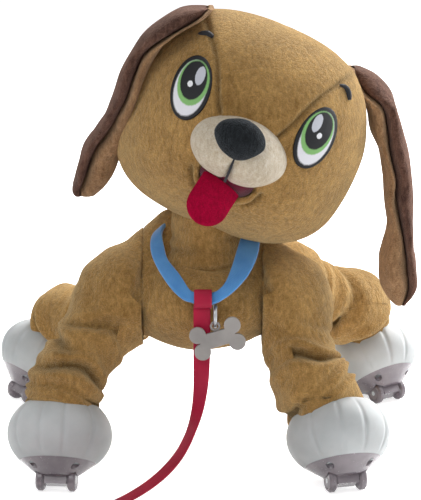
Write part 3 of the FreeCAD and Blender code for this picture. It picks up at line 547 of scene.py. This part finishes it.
def metal(name, colour, rough, scratch):
    """Bright drawn or plated steel: fine long scratches break up a sharp reflection."""
    material, tree = fresh(name)
    place = add(tree, "ShaderNodeTexCoord").outputs["Object"]
    long = add(tree, "ShaderNodeMapping", {"Vector": place, "Scale": (1.0, 1.0, 0.15)})
    lines = add(tree, "ShaderNodeTexNoise", {"Vector": long.outputs[0], "Scale": 1800.0,
                                             "Detail": 3.0})
    dull = add(tree, "ShaderNodeMapRange", {"Value": lines.outputs["Fac"], "To Min": rough,
                                            "To Max": rough + 0.2})
    tone = add(tree, "ShaderNodeMix", {"Factor": lines.outputs["Fac"], "A": linear(colour),
                                       "B": linear(scratch)}, data_type="RGBA")
    bump = add(tree, "ShaderNodeBump", {"Height": lines.outputs["Fac"], "Strength": 0.1,
                                        "Distance": 0.0001})
    shader = add(tree, "ShaderNodeBsdfPrincipled", {
        "Base Color": tone.outputs["Result"], "Metallic": 1.0, "Roughness": dull.outputs[0],
        "Normal": bump.outputs[0]})
    add(tree, "ShaderNodeOutputMaterial", {"Surface": shader.outputs[0]})
    return material


# The split ring is one steel wire wound twice, a wire's thickness apart.
bright_steel = metal("nickel_plated_wire", "#B4B7BA", 0.22, "#8E9194")
ring_low, ring_high = (np.array(corner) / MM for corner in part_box("split_ring"))
ring_middle = (ring_low + ring_high) / 2
ring_size = (ring_high[2] - ring_low[2]) / 2 - 0.7
winding = np.linspace(0, 4 * np.pi, 160)
wire_coil = np.stack([(winding / (4 * np.pi) - 0.5) * 1.5, ring_size * np.sin(winding),
                      ring_size * np.cos(winding)], 1)
split_ring = wire("split_ring_wire", ring_middle + wire_coil, 0.62)
split_ring.data.materials.append(bright_steel)
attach(split_ring, "ring")
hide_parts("split_ring")


def moulded(name, face, deep, rough, through=0.0, glow=0.0, coat=0.0, cloud=45.0, grain=0.25):
    """Moulded plastic: cloudy colour, a fine orange-peel skin, some light let through."""
    material, tree = fresh(name)
    place = add(tree, "ShaderNodeTexCoord").outputs["Object"]
    slow = add(tree, "ShaderNodeTexNoise", {"Vector": place, "Scale": cloud, "Detail": 4.0})
    fine = add(tree, "ShaderNodeTexNoise", {"Vector": place, "Scale": 900.0, "Detail": 2.0})
    share = add(tree, "ShaderNodeMapRange", {"Value": slow.outputs["Fac"], "From Min": 0.35,
                                             "From Max": 0.65})
    tone = add(tree, "ShaderNodeMix", {"Factor": share.outputs[0], "A": linear(deep),
                                       "B": linear(face)}, data_type="RGBA")
    dull = add(tree, "ShaderNodeMapRange", {"Value": fine.outputs["Fac"],
                                            "To Min": rough - 0.06, "To Max": rough + 0.1})
    bump = add(tree, "ShaderNodeBump", {"Height": fine.outputs["Fac"], "Strength": grain,
                                        "Distance": 0.0001})
    shader = add(tree, "ShaderNodeBsdfPrincipled", {
        "Base Color": tone.outputs["Result"], "Roughness": dull.outputs[0],
        "Normal": bump.outputs[0], "IOR": 1.5, "Transmission Weight": through,
        "Subsurface Weight": glow, "Subsurface Radius": (0.004, 0.003, 0.003),
        "Subsurface Scale": 1.0, "Coat Weight": coat, "Coat Roughness": 0.25})
    add(tree, "ShaderNodeOutputMaterial", {"Surface": shader.outputs[0]})
    return material


# The bone tag is a flat moulding of matte grey polypropylene with a wire eye.
tag_plastic = moulded("frosted_grey_plastic", "#A09C99", "#8A8683", 0.5, glow=0.3)
for holder in frame["nodes"]["bone_tag"].material_slots:
    holder.material = tag_plastic

# ================================================================ head
# A big soft skull, broad at the cheeks. Two seams run down the forehead to the muzzle.
# Everything on it is given from the skull's centre: sideways, back and up, in millimetres.
HEAD_UP = unit(np.array(joints["neck_turn"]["axis"]))
HEAD_SIDE = unit(np.array(joints["head_nod"]["axis"]))
HEAD_BACK = np.cross(HEAD_UP, HEAD_SIDE)
SKULL_MIDDLE = np.array(joints["neck_turn"]["pos_m"]) / MM + 66 * HEAD_UP - 3 * HEAD_BACK
SKULL_HALF = np.array([73.5, 60.0, 64.5])
FOREHEAD_SEAM = [(50, 57), (41, 48), (32.7, 38), (27, 28), (22.7, 18), (18, 9)]


def from_head(points):
    """Head measures (side, back, up from the skull's centre) as places in the row frame."""
    points = np.asarray(points, float)
    return (SKULL_MIDDLE + points[..., :1] * HEAD_SIDE + points[..., 1:2] * HEAD_BACK
            + points[..., 2:] * HEAD_UP)


def skull_reach(ways):
    """Skull's radius in each direction: round in front, squarer low on the cheeks."""
    power = 2.15 + 0.75 * np.clip(0.45 - 1.3 * ways[..., 2], 0, 1)
    high = np.clip(ways[..., 2] * 1.4 - 0.3, 0, 1) * np.clip(np.abs(ways[..., 0]) * 2, 0, 1)
    power = power + 0.45 * high
    flat = (np.abs(ways[..., 0] / SKULL_HALF[0]) ** power
            + np.abs(ways[..., 2] / SKULL_HALF[2]) ** power) ** (2 / power)
    return (flat + (ways[..., 1] / SKULL_HALF[1]) ** 2) ** -0.5


def on_skull(side, up, lift=0.0):
    """Place on the front of the skull's surface at the given side and height."""
    side, up = np.broadcast_arrays(np.asarray(side, float), np.asarray(up, float))
    near = np.zeros(side.shape)
    far = np.full(side.shape, SKULL_HALF[1] * 1.3)
    for _ in range(24):
        middle = (near + far) / 2
        spots = np.stack([side, -middle, up], -1)
        reach = np.linalg.norm(spots, axis=-1)
        inside = reach < skull_reach(unit(spots))
        near = np.where(inside, middle, near)
        far = np.where(inside, far, middle)
    spots = np.stack([side, -near, up], -1)
    return spots * (1 + lift / np.linalg.norm(spots, axis=-1, keepdims=True))


def directions(rows, places):
    """Directions over a ball with its poles in front and behind, row by row."""
    slant = np.linspace(0.02, np.pi - 0.02, rows)
    turn = round_steps(places)
    return np.stack([np.sin(slant)[:, None] * np.cos(turn)[None],
                     -np.cos(slant)[:, None].repeat(places, 1),
                     np.sin(slant)[:, None] * np.sin(turn)[None]], -1)


head_ways = directions(190, 260)
head_points = head_ways * skull_reach(head_ways)[..., None]
seam = dense([on_skull(side, up) for side, up in FOREHEAD_SEAM], 160)
seams = np.concatenate([seam, seam * [-1, 1, 1]])
back_seam = np.stack([np.zeros(60), 60 * np.sin(np.linspace(0.1, 1.5, 60)),
                      64 * np.cos(np.linspace(0.1, 1.5, 60))], 1)
smile = dense([on_skull(14.5, -37), on_skull(18.5, -33), on_skull(22, -27)], 30)
smiles = np.concatenate([smile, smile * [-1, 1, 1]])
seam_near = (np.exp(-(away(head_points, seams) / 1.5) ** 2)
             + 0.7 * np.exp(-(away(head_points, back_seam) / 1.5) ** 2))
smile_near = np.exp(-(away(head_points, smiles) / 1.8) ** 2)
pillow = np.exp(-(away(head_points, seams) / 7.0) ** 2)
gape = ((head_points[..., 0] / 16.5) ** 2
        + ((head_points[..., 2] + 29 - 0.012 * head_points[..., 0] ** 2) / 8) ** 2)
gape = np.clip(1.25 - gape, 0, 1) ** 0.5 * (head_points[..., 1] < 0)
head_points += head_ways * (0.6 * ripple(head_points, 16) - 1.9 * seam_near
                            + 0.9 * (pillow - 0.5) - 1.6 * smile_near
                            - 7 * gape)[..., None]
head = skin("head_cover", from_head(head_points) * MM)
# Painted shade: darker along the forehead and back seams and in the creases beside the mouth.
mark(head, "crease_shade", np.clip(0.8 * seam_near + 0.8 * smile_near, 0, 1))
head.data.materials.append(tan_plush)
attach(head, "head")
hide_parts("head_plush")

# ================================================================ muzzle, nose and mouth
# Cream plush muzzle with two soft lobes, a big black plush nose above them, a black sewn
# line between them and an open mouth under them with a felt tongue.
MUZZLE_MIDDLE, MUZZLE_HALF = np.array([0.0, -55, -8]), np.array([28.5, 21.5, 20.5])
muzzle_ways = directions(90, 140)
muzzle_points = muzzle_ways * MUZZLE_HALF
muzzle_points[..., 2] *= np.where(muzzle_ways[..., 2] < 0, 0.86, 1.0)
lobes = (np.exp(-((np.abs(muzzle_points[..., 0]) - 13) / 9) ** 2
                - ((muzzle_points[..., 2] + 6) / 10) ** 2))
parting = (np.exp(-((muzzle_points[..., 0] + 1.5) / 2.0) ** 2)
           * np.clip((4 - muzzle_points[..., 2]) / 12, 0, 1))
muzzle_points = (MUZZLE_MIDDLE + muzzle_points
                 + muzzle_ways * (1.8 * lobes - 1.8 * parting
                                  + 0.4 * ripple(muzzle_points, 8))[..., None])
muzzle = skin("muzzle_cover", from_head(muzzle_points) * MM)
# Painted shade: darker in the parting between the two lobes.
mark(muzzle, "crease_shade", np.clip(0.5 * parting, 0, 1))
muzzle.data.materials.append(plush("cream_short_pile_plush", "#F1E6D4", "#D2C1A6", "#FFF8EC",
                                   sheen=0.35))
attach(muzzle, "head")
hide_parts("muzzle")

nose_ways = directions(60, 100)
narrow = 1 - 0.22 * np.clip(-nose_ways[..., 2], 0, 1) ** 1.2
nose_points = nose_ways * np.array([15.0, 9.0, 11.8])
nose_points[..., 0] *= narrow
nose_points += nose_ways * (0.35 * ripple(nose_points, 5))[..., None]
nose = skin("nose_cover", from_head(nose_points + np.array([-3.0, -74, 1.5])) * MM)
mark(nose, "crease_shade", np.zeros(nose_points.shape[:2]))
nose.data.materials.append(plush("black_short_pile_plush", "#2E3236", "#111416", "#8A9096",
                                 sheen=0.45))
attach(nose, "head")
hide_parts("nose")


def muzzle_front(side, up, lift=0.0):
    """Place on the muzzle's front at a side and height from the skull's centre."""
    part = ((side - MUZZLE_MIDDLE[0]) / MUZZLE_HALF[0]) ** 2
    part = part + ((up - MUZZLE_MIDDLE[2]) / MUZZLE_HALF[2]) ** 2
    return np.array([side, MUZZLE_MIDDLE[1] - MUZZLE_HALF[1] * max(1 - part, 0) ** 0.5 - lift,
                     up])


black_thread = woven("black_sewing_thread", "#24262C", "#101114", 0.4, 0.7, 0.2)
lip = dense([muzzle_front(-1.8, -8, -1), muzzle_front(-1.6, -15, -1.2),
             muzzle_front(-1.4, -20, -1.4), muzzle_front(-1.2, -25, -1.8)], 40)
lip_line = wire("lip_stitch", from_head(lip), 0.75)
lip_line.data.materials.append(black_thread)
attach(lip_line, "head")

maroon = woven("maroon_cotton", "#6E1030", "#450820", 0.5, 0.85, 0.2)
mouth_spread = np.linspace(0.02, 1, 30)[:, None]
mouth_turn = round_steps(90)[None]
mouth_side = 16.5 * mouth_spread * np.cos(mouth_turn)
mouth_rise = 8.2 * mouth_spread * np.sin(mouth_turn)
mouth_points = on_skull(mouth_side, mouth_rise - 29 + 0.012 * mouth_side ** 2,
                        (-4.5 + 3.8 * mouth_spread ** 4)[..., None])
mouth = skin("mouth_lining_cloth", from_head(mouth_points) * MM)
mouth.data.materials.append(maroon)
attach(mouth, "head")
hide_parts("mouth_lining")

chin_line = dense([on_skull(side, up, 0.4) for side, up in
                   ((-18.5, -26), (-15.5, -32), (-8, -36.3), (0, -37.6), (8, -36.3),
                    (15.5, -32), (18.5, -26))], 90)
chin = wire("lower_lip", from_head(chin_line), 2.3 * np.sin(np.linspace(0.25, 2.9, 90)) ** 0.5,
            sides=24)
mark(chin, "crease_shade", np.zeros(90 * 24))
chin.data.materials.append(tan_plush)
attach(chin, "head")

felt = plush("crimson_felt", "#C80440", "#A00030", "#E0507A", pile=0.7, sheen=0.12)
tongue_share = np.linspace(0, 1, 60)
tongue_turn = round_steps(60)
tongue_wide = 12.3 * np.sqrt(np.clip(1 - ((tongue_share - 0.6) / 0.4).clip(0, 0.998) ** 2, 0, 1))
tongue_line = np.stack([-1.5 - 5.5 * tongue_share, -54 - 19 * tongue_share + 5 * tongue_share ** 2,
                        -28.0 - 25 * tongue_share + 1.5 * np.sin(tongue_share * 3)], 1)
across = unit(np.gradient(tongue_line, axis=0))
side_way = unit(np.cross(across, np.array([0.0, 1.0, 0.0])))
front_way = np.cross(side_way, across)
cup = 1.4 * np.cos(tongue_turn) ** 2
tongue_points = (tongue_line[:, None]
                 + side_way[:, None] * (tongue_wide[:, None] * np.cos(tongue_turn))[..., None]
                 + front_way[:, None] * (1.3 * np.sin(tongue_turn) + cup)[None, :, None])
tongue = skin("tongue_felt", from_head(tongue_points) * MM)
mark(tongue, "crease_shade", np.zeros(tongue_points.shape[:2]))
tongue.data.materials.append(felt)
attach(tongue, "head")
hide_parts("tongue")

# ================================================================ embroidered eyes and brows
# Each eye is a satin-stitched oval: black rim, white ball, green iris, black pupil and two
# pale lights. Brows are short black stitches.
EYE_SIDE, EYE_UP, EYE_LEAN = 38.1, 15.0, math.radians(3.5)
EYE_HALF = (10.7, 17.7)
EYE_LAYERS = [((0.0, -0.3), (8.9, 15.6), "#E9E9F0"), ((-0.6, 3.0), (8.6, 12.6), "#86BC72"),
              ((-0.4, 4.4), (7.2, 10.8), "#0B0C12"), ((-3.1, 8.0), (2.6, 5.2), "#C9CCD6"),
              ((0.9, 2.0), (1.5, 1.7), "#F2F3F8")]

satin, tree = fresh("satin_stitch_eye")
flat = add(tree, "ShaderNodeUVMap", uv_map="stitch").outputs["UV"]
wobble = add(tree, "ShaderNodeTexNoise", {"Vector": flat, "Scale": 1.6, "Detail": 2.0})
shift = add(tree, "ShaderNodeVectorMath", {0: wobble.outputs["Color"], 1: (0.5, 0.5, 0.5)},
            operation="SUBTRACT")
shift = add(tree, "ShaderNodeVectorMath", {0: shift.outputs[0], 1: (0.5, 0.9, 0.0)},
            operation="MULTIPLY")
edge = add(tree, "ShaderNodeVectorMath", {0: flat, 1: shift.outputs[0]})
colour = add(tree, "ShaderNodeRGB").outputs[0]
colour.default_value = linear("#0C0D13")
for middle, half, tint in EYE_LAYERS:
    from_middle = add(tree, "ShaderNodeVectorMath", {0: edge.outputs[0], 1: (*middle, 0)},
                      operation="SUBTRACT")
    scaled = add(tree, "ShaderNodeVectorMath", {0: from_middle.outputs[0], 1: (*half, 1)},
                 operation="DIVIDE")
    far = add(tree, "ShaderNodeVectorMath", {0: scaled.outputs[0]}, operation="LENGTH")
    inside = add(tree, "ShaderNodeMapRange", {"Value": far.outputs["Value"],
                                              "From Min": 1.04, "From Max": 0.97})
    colour = add(tree, "ShaderNodeMix", {"Factor": inside.outputs[0], "A": colour,
                                         "B": linear(tint)}, data_type="RGBA")
    colour = colour.outputs["Result"]
rows = add(tree, "ShaderNodeTexWave", {"Vector": flat, "Scale": 0.55, "Distortion": 1.0,
                                       "Detail": 2.0, "Detail Scale": 2.0},
           bands_direction="Y")
gloss = add(tree, "ShaderNodeMapRange", {"Value": rows.outputs["Fac"], "To Min": 0.35,
                                         "To Max": 0.6})
bump = add(tree, "ShaderNodeBump", {"Height": rows.outputs["Fac"], "Strength": 0.5,
                                    "Distance": 0.0002})
shader = add(tree, "ShaderNodeBsdfPrincipled", {
    "Base Color": colour, "Roughness": gloss.outputs[0], "Normal": bump.outputs[0],
    "Specular IOR Level": 0.25})
add(tree, "ShaderNodeOutputMaterial", {"Surface": shader.outputs[0]})

for word, way in (("right", -1), ("left", 1)):
    eye_spread = np.concatenate([np.linspace(0.02, 1, 36), [1.035, 1.04, 1.0]])
    lift = np.concatenate([0.9 + 0.35 * np.cos(np.linspace(0, 1.4, 36)), [0.55, 0.1, -0.8]])
    eye_turn = round_steps(90)
    u = EYE_HALF[0] * eye_spread[:, None] * np.cos(eye_turn)[None]
    v = EYE_HALF[1] * eye_spread[:, None] * np.sin(eye_turn)[None]
    eye_side = way * (EYE_SIDE + u * math.cos(EYE_LEAN) + v * math.sin(EYE_LEAN))
    eye_up = EYE_UP + v * math.cos(EYE_LEAN) - u * math.sin(EYE_LEAN)
    eye_points = on_skull(eye_side, eye_up, lift[:, None, None])
    eye = skin(f"eye_stitching_{word}", from_head(eye_points) * MM)
    stitch_places = np.zeros((len(eye.data.vertices), 2))
    stitch_places[: u.size] = np.stack([u.ravel(), v.ravel()], 1)
    corners = np.zeros(len(eye.data.loops), int)
    eye.data.loops.foreach_get("vertex_index", corners)
    eye.data.uv_layers.new(name="stitch").data.foreach_set("uv", stitch_places[corners].ravel())
    eye.data.materials.append(satin)
    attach(eye, "head")
    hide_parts(f"eye_patch_{word}")

BROWS = {"right": [(-45.6, 43.2), (-43, 44.6), (-40.4, 45.5), (-37.4, 45.3)],
         "left": [(40.6, 46.6), (44.4, 46.2), (47.4, 43.9), (49.4, 40.6)]}
for word, brow_points in BROWS.items():
    brow_line = dense([on_skull(side, up, 0.5) for side, up in brow_points], 50)
    brow = wire(f"brow_stitch_{word}", from_head(brow_line),
                1.7 * np.sin(np.linspace(0.15, 2.6, 50)) ** 0.7)
    brow.data.materials.append(black_thread)
    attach(brow, "head")
    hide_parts("brow_stitches")

# ================================================================ ears
# A floppy ear is two soft layers sewn round the edge: dark brown outside, lighter lining
# inside. It is curled, so both layers show from the front. Rows give, from the top down,
# the height and the outer edge, the join of both layers and the inner edge.
EARS = {
    "right": [(279.8, -6, 4.2, 4.5), (278.7, -14.1, 4.2, 4.7), (272.9, -24.7, -1.8, -1.2),
              (263.4, -35.9, -20.0, -17.7), (254.0, -42.5, -33.0, -26.0),
              (241.6, -49.1, -39.0, -33.1), (229.7, -53.3, -43.8, -37.9),
              (217.7, -57.6, -48.7, -40.4), (206.9, -64.8, -55.3, -42.2),
              (196.7, -72.1, -63.2, -47.7), (187.7, -74.6, -66.8, -51.3),
              (178.6, -77.1, -70.5, -55.0), (171.3, -79.0, -73.0, -59.9),
              (165.8, -76.7, -73.1, -65.9)],
    "left": [(243.9, 95.7, 89.4, 89.2), (238.6, 105.8, 90.4, 89.8), (229.7, 113.6, 97.0, 94.7),
             (220.7, 116.8, 107.3, 99.0), (205.7, 121.2, 110.5, 102.2),
             (193.7, 124.4, 112.5, 107.7), (178.6, 126.5, 115.2, 110.4),
             (166.4, 127.9, 116.6, 111.2), (147.5, 128.3, 119.9, 113.3),
             (135.9, 128.0, 121.9, 111.1), (127.9, 129.9, 123.9, 108.9),
             (114.3, 130.8, 124.8, 109.1), (105.0, 128.6, 124.3, 112.9),
             (98.1, 123.9, 122.7, 119.6)]}
# The rows hold on a plane ROW_PLANE from the middle. Where an ear bulges in front of it, its
# places are drawn in towards the viewpoint, so that the ear's outline keeps its curve.
EAR_DEEP, EAR_ROWS, EAR_STEPS, ROW_PLANE = 40.0, 150, 72, -48
EAR_FRONTS = {"right": ([160, 190, 205, 217, 240, 263, 282], [-50, -53, -64, -74, -82, -85, -80]),
              "left": ([90, 222, 244], [-50, -50, -34])}
VIEW_POINT = np.array([5.0, -1295.0, 400.0])
brown_plush = plush("dark_brown_plush", "#7A5A4C", "#46302A", "#B89C8E", pile=1.2, sheen=0.45)
lining_plush = plush("tan_lining_plush", "#B58E68", "#7E5C40", "#E4CDAE", pile=1.1, sheen=0.5)
for word, rows in EARS.items():
    fine = dense(rows, EAR_ROWS)
    ear_front = np.interp(fine[:, 0], *EAR_FRONTS[word])
    nearer = (ear_front - VIEW_POINT[1]) / (ROW_PLANE - VIEW_POINT[1])
    fine[:, 0] = VIEW_POINT[2] + (fine[:, 0] - VIEW_POINT[2]) * nearer
    fine[:, 1:] = VIEW_POINT[0] + (fine[:, 1:] - VIEW_POINT[0]) * nearer[:, None]
    ear_share = np.linspace(0, 1, EAR_ROWS)
    drop = np.clip((1 - ear_share) / 0.16, 0, 1) ** 0.5
    ear_top = np.clip(ear_share / 0.12, 0, 1) ** 0.5
    ear_wide = EAR_DEEP / 2 * (0.45 + 0.55 * ear_top) * (0.3 + 0.7 * drop)
    ear_turn = round_steps(EAR_STEPS)
    for layer, first, second, cloth, node in (
            ("outer", 1, 2, brown_plush, f"ear_outer_{word}"),
            ("lining", 2, 3, lining_plush, f"ear_lining_{word}")):
        ear_middle = (fine[:, first] + fine[:, second]) / 2
        ear_thick = np.maximum(np.abs(fine[:, second] - fine[:, first]) / 2, 1.2)
        if layer == "lining":
            ear_thick = ear_thick + 0.8
        round_x = np.sign(np.cos(ear_turn)) * np.abs(np.cos(ear_turn)) ** 0.8
        spot_y = ear_front[:, None] + EAR_DEEP / 2 + ear_wide[:, None] * np.sin(ear_turn)[None]
        ruffle = (0.9 * np.sin(ear_share * 31)[:, None]
                  * np.clip(-np.sin(ear_turn), 0, 1)[None] ** 2)
        ear_points = np.stack([ear_middle[:, None] + ear_thick[:, None] * round_x[None] + ruffle,
                               spot_y + 0.8 * np.sin(ear_share * 23)[:, None],
                               fine[:, :1].repeat(EAR_STEPS, 1)], -1)
        # Painted shade: narrow darker bands across the ear, where creases would lie.
        ear_crease_shade = 0.25 * np.exp(-np.sin(ear_share * 15.5) ** 2 / 0.004)[:, None]
        ear_crease_shade = ear_crease_shade.repeat(EAR_STEPS, 1)
        ear_points[..., 0] += 0.5 * ripple(ear_points, 7)
        ear = skin(f"ear_{layer}_{word}_cover", ear_points * MM)
        mark(ear, "crease_shade", ear_crease_shade)
        ear.data.materials.append(cloth)
        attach(ear, f"ear_{word}")
        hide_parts(node)

# ================================================================ legs and cuffs
# Each leg is a sleeve of plush sewn to the body's flat side. It bends above the paw, where
# the cuff is gathered into the paw's neck, so the cloth lies in folds there.
LEGS = {
    "front_right": {"toe": (-6, 27), "hip": (-45, 106), "bend": (-77, -70, 68), "disc": 28,
                    "dome": 37, "knuckle": (-82, -74, 56), "ball": 21.5,
                    "folds": [(0.42, 1.0, 1.8), (0.54, 1.5, 3.6), (0.64, 1.8, 1.6),
                              (0.74, 1.6, 4.4), (0.84, 1.3, 2.4)]},
    "front_left": {"toe": (16, 31), "hip": (-45, 106), "bend": (61, -70, 66), "disc": 28,
                   "dome": 33, "knuckle": (68, -74, 56), "ball": 22,
                   "folds": [(0.40, 1.0, 4.6), (0.56, 1.7, 1.2), (0.66, 1.8, 2.9),
                             (0.78, 1.5, 5.0)]},
    "rear_right": {"toe": (-55, 38), "hip": (58, 76), "bend": (-80, 84, 57), "disc": 24,
                   "dome": 38, "knuckle": (-91, 96, 57), "ball": 23,
                   "folds": [(0.52, 2.0, 0.6), (0.72, 2.0, 1.8), (0.86, 1.6, 0.2)]},
    "rear_left": {"toe": (35, 38), "hip": (58, 96), "bend": (86, 82, 76), "disc": 26,
                  "dome": 42, "knuckle": (99, 94, 68), "ball": 25,
                  "folds": [(0.40, 1.8, 2.4), (0.56, 2.2, 2.8), (0.78, 1.8, 1.6)]},
}
AXLE_DROP, SHELL_NECK, LEG_SLEEVE, LEG_BALL, CUFF_FOOT = 27.0, 17.3, 22.0, 18.4, 19.0


def paw_up(toe):
    """Direction of a paw's neck, from how far its toes point outwards and upwards."""
    out_turn, lean = np.radians(toe[0]), np.radians(toe[1])
    return np.array([-np.sin(out_turn) * np.sin(lean), np.cos(out_turn) * np.sin(lean),
                     np.cos(lean)])


LEG_ROWS, LEG_STEPS = 150, 130
for leg, pose in LEGS.items():
    way = -1 if "right" in leg else 1
    hip = np.array([way * (SEAM_SIDE + 0.2), *pose["hip"]])
    shoulder = hip + np.array([way * 14.0, 0, 0])
    bend, knuckle = np.array(pose["bend"], float), np.array(pose["knuckle"], float)
    axle = np.array(joints[f"wheel_turn_{leg}"]["pos_m"]) / MM
    up = paw_up(pose["toe"])
    neck_hole = axle + up * (AXLE_DROP + SHELL_NECK)

    def leg_form(points):
        """Hip dome, sleeve, knuckle and cuff melted together, cut off at the body's seam."""
        dome = egg(points, hip, (pose["dome"], pose["disc"], pose["disc"]))
        upper = limb(points, shoulder, bend, LEG_SLEEVE, LEG_BALL + 0.6)
        ball = np.linalg.norm(points - knuckle, axis=-1) - pose["ball"]
        lower = limb(points, knuckle, neck_hole, 0.92 * pose["ball"], CUFF_FOOT)
        if "front" in leg:
            dome = melt(dome, shoulder_slope(points, way), 9)
        sleeve = melt(melt(dome, upper, 9), melt(ball, lower, 6), 7)
        return np.maximum(sleeve, SEAM_SIDE + 0.1 - way * points[..., 0])

    line = dense([hip, shoulder, bend * 0.55 + shoulder * 0.45,
                  bend * 0.85 + knuckle * 0.15, knuckle * 0.45 + neck_hole * 0.55,
                  neck_hole + up * 0.4], LEG_ROWS)
    ahead = unit(np.gradient(line, axis=0))
    ahead[:4] = [way, 0, 0]
    ahead[-4:] = -up
    side = unit(np.cross(ahead, np.array([0.0, 1.0, 0.35])))
    other = np.cross(ahead, side)
    turn = round_steps(LEG_STEPS)
    ways = (side[:, None] * np.cos(turn)[None, :, None]
            + other[:, None] * np.sin(turn)[None, :, None])
    starts = line[:, None].repeat(LEG_STEPS, 1)
    reach = cast(starts, ways, leg_form, 60)
    travel = np.linspace(0, 1, LEG_ROWS)[:, None]
    reach = reach * (1 - 0.24 * np.exp(-(travel / 0.045) ** 2))
    folds = np.zeros(reach.shape)
    for place, deep, angle in pose["folds"]:
        bent = place + 0.045 * np.sin(turn[None] + angle * 2) + 0.012 * np.sin(3 * turn[None])
        step = (travel - bent) / 0.024
        folds += ((2.6 * np.exp(-step ** 2) - 1.5 * np.exp(-(np.abs(step) - 1.9) ** 2)) * deep
                  * (0.25 + 0.75 * np.clip(np.cos(turn[None] - angle), 0, 1)))
    lumps = starts + ways * reach[..., None]
    lumps = (1.5 * ripple(lumps, 12) + 0.7 * ripple(lumps + 40, 5)) * (1 - travel ** 6)
    points = starts + ways * (reach + 0.6 + lumps - folds)[..., None]
    points[..., 0] = way * np.maximum(way * points[..., 0], SEAM_SIDE + 0.15)
    leg_skin = skin(f"leg_cover_{leg}", points * MM)
    # Painted shade: darker where the folds press the cloth in.
    mark(leg_skin, "crease_shade", np.clip(folds / 4.0, 0, 1))
    leg_skin.data.materials.append(tan_plush)
    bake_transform(leg_skin)
    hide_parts(f"leg_{leg}", f"cuff_{leg}")

# ================================================================ hollow paws and wheels
# Each paw is a squashed hollow ball of milky plastic with four toe grooves, on a smoky
# base that holds one steel axle with two smoky wheels.
milky = moulded("milky_polypropylene", "#C9CCCD", "#B2B6B7", 0.62, glow=0.35, coat=0.0,
                cloud=30.0)
smoky = moulded("smoky_polycarbonate", "#A79DA3", "#8B8189", 0.22, through=0.35, glow=0.1,
                coat=0.2, cloud=60.0, grain=0.12)
dark_steel = metal("zinc_plated_steel", "#9DA0A2", 0.35, "#75787A")
SHELL_ROUND, SHELL_TALL, SHELL_WALL, SHELL_FOOT = 31.2, 24.5, 2.2, 16.8
OUTSIDE_ROWS, INSIDE_ROWS, SHELL_STEPS = 60, 40, 180
TOE_GROOVES = (-48, -14, 14, 48)
for leg, pose in LEGS.items():
    up = paw_up(pose["toe"])
    middle = np.array(joints[f"wheel_turn_{leg}"]["pos_m"]) / MM + up * AXLE_DROP
    along = unit(np.array(joints[f"wheel_turn_{leg}"]["axis"]))
    along = along - up * (along @ up)
    toe_way = np.cross(along, up)
    toe_way = toe_way * (-1 if toe_way[1] > 0 else 1)
    low, high = np.arcsin(-SHELL_FOOT / SHELL_TALL), np.arcsin(SHELL_NECK / SHELL_TALL)
    slant = np.linspace(low, high, OUTSIDE_ROWS)
    outside = np.stack([SHELL_ROUND * np.cos(slant), SHELL_TALL * np.sin(slant)], 1)
    round_in, tall_in = SHELL_ROUND - SHELL_WALL, SHELL_TALL - SHELL_WALL
    slant = np.linspace(np.arcsin(SHELL_NECK / tall_in), np.arcsin(-SHELL_FOOT / tall_in),
                        INSIDE_ROWS)
    inside = np.stack([round_in * np.cos(slant), tall_in * np.sin(slant)], 1)
    profile = np.concatenate([outside, inside])
    turn = round_steps(SHELL_STEPS)
    radius = profile[None, :, 0].repeat(SHELL_STEPS, 0)
    groove_fade = np.concatenate([np.clip(np.sin(np.linspace(0, np.pi, OUTSIDE_ROWS)) * 2.2,
                                         0, 1), np.zeros(INSIDE_ROWS)])
    from_front = (np.degrees(turn) + 180) % 360 - 180
    for toe in TOE_GROOVES:
        dip = np.exp(-((from_front - toe) / 2.2) ** 2)
        radius = radius - 0.9 * dip[:, None] * groove_fade[None]
    rings = (middle + up * profile[None, :, 1, None]
             + (toe_way * np.cos(turn)[:, None] + unit(along) * np.sin(turn)[:, None])[:, None]
             * radius[..., None])
    shell = skin(f"paw_shell_moulding_{leg}", rings * MM, loop=True)
    shell.data.materials.append(milky)
    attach(shell, f"paw_{leg}")
    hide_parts(f"paw_shell_{leg}")
    for node, material in ((f"paw_base_{leg}", smoky), (f"wheel_{leg}_right", smoky),
                           (f"wheel_{leg}_left", smoky), (f"axle_{leg}", bright_steel),
                           (f"paw_weight_{leg}", dark_steel), (f"paw_screws_{leg}", dark_steel)):
        for holder in frame["nodes"][node].material_slots:
            holder.material = material

# ================================================================ tail
# Short stuffed tail, sewn on at its root and lifted; it thins towards a round tip.
TAIL_LONG = 36.0
root = np.array(joints["tail_wag"]["pos_m"]) / MM
tail_way = np.array([0, math.sin(math.radians(45)), math.cos(math.radians(45))])
tail_share = np.linspace(-1, 1, 90)
along_tail = (TAIL_LONG / 2 + (TAIL_LONG / 2 + 6.5) * np.sin(tail_share * np.pi / 2))
tail_round = 9 - 4 * np.clip(along_tail / TAIL_LONG, 0, 1)
end_close = np.sqrt(np.clip(1 - np.abs(tail_share) ** 8, 0.0004, 1))
tail_turn = round_steps(90)
tail_side = np.array([1.0, 0, 0])
tail_over = np.cross(tail_way, tail_side)
tail_lean = 2.2 * np.sin(np.clip(along_tail / TAIL_LONG, 0, 1) * np.pi)
tail_middle = root + tail_way * along_tail[:, None] + tail_over * tail_lean[:, None]
tail_ways = tail_side * np.cos(tail_turn)[:, None] + tail_over * np.sin(tail_turn)[:, None]
tail_points = tail_middle[:, None] + tail_ways[None] * (tail_round * end_close)[:, None, None]
tail_points += (tail_ways[None] * (0.5 * ripple(tail_points, 6))[..., None]
                * end_close[:, None, None])
tail = skin("tail_cover", tail_points * MM)
mark(tail, "crease_shade", np.zeros(tail_points.shape[:2]))
tail.data.materials.append(tan_plush)
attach(tail, "tail")
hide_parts("tail")
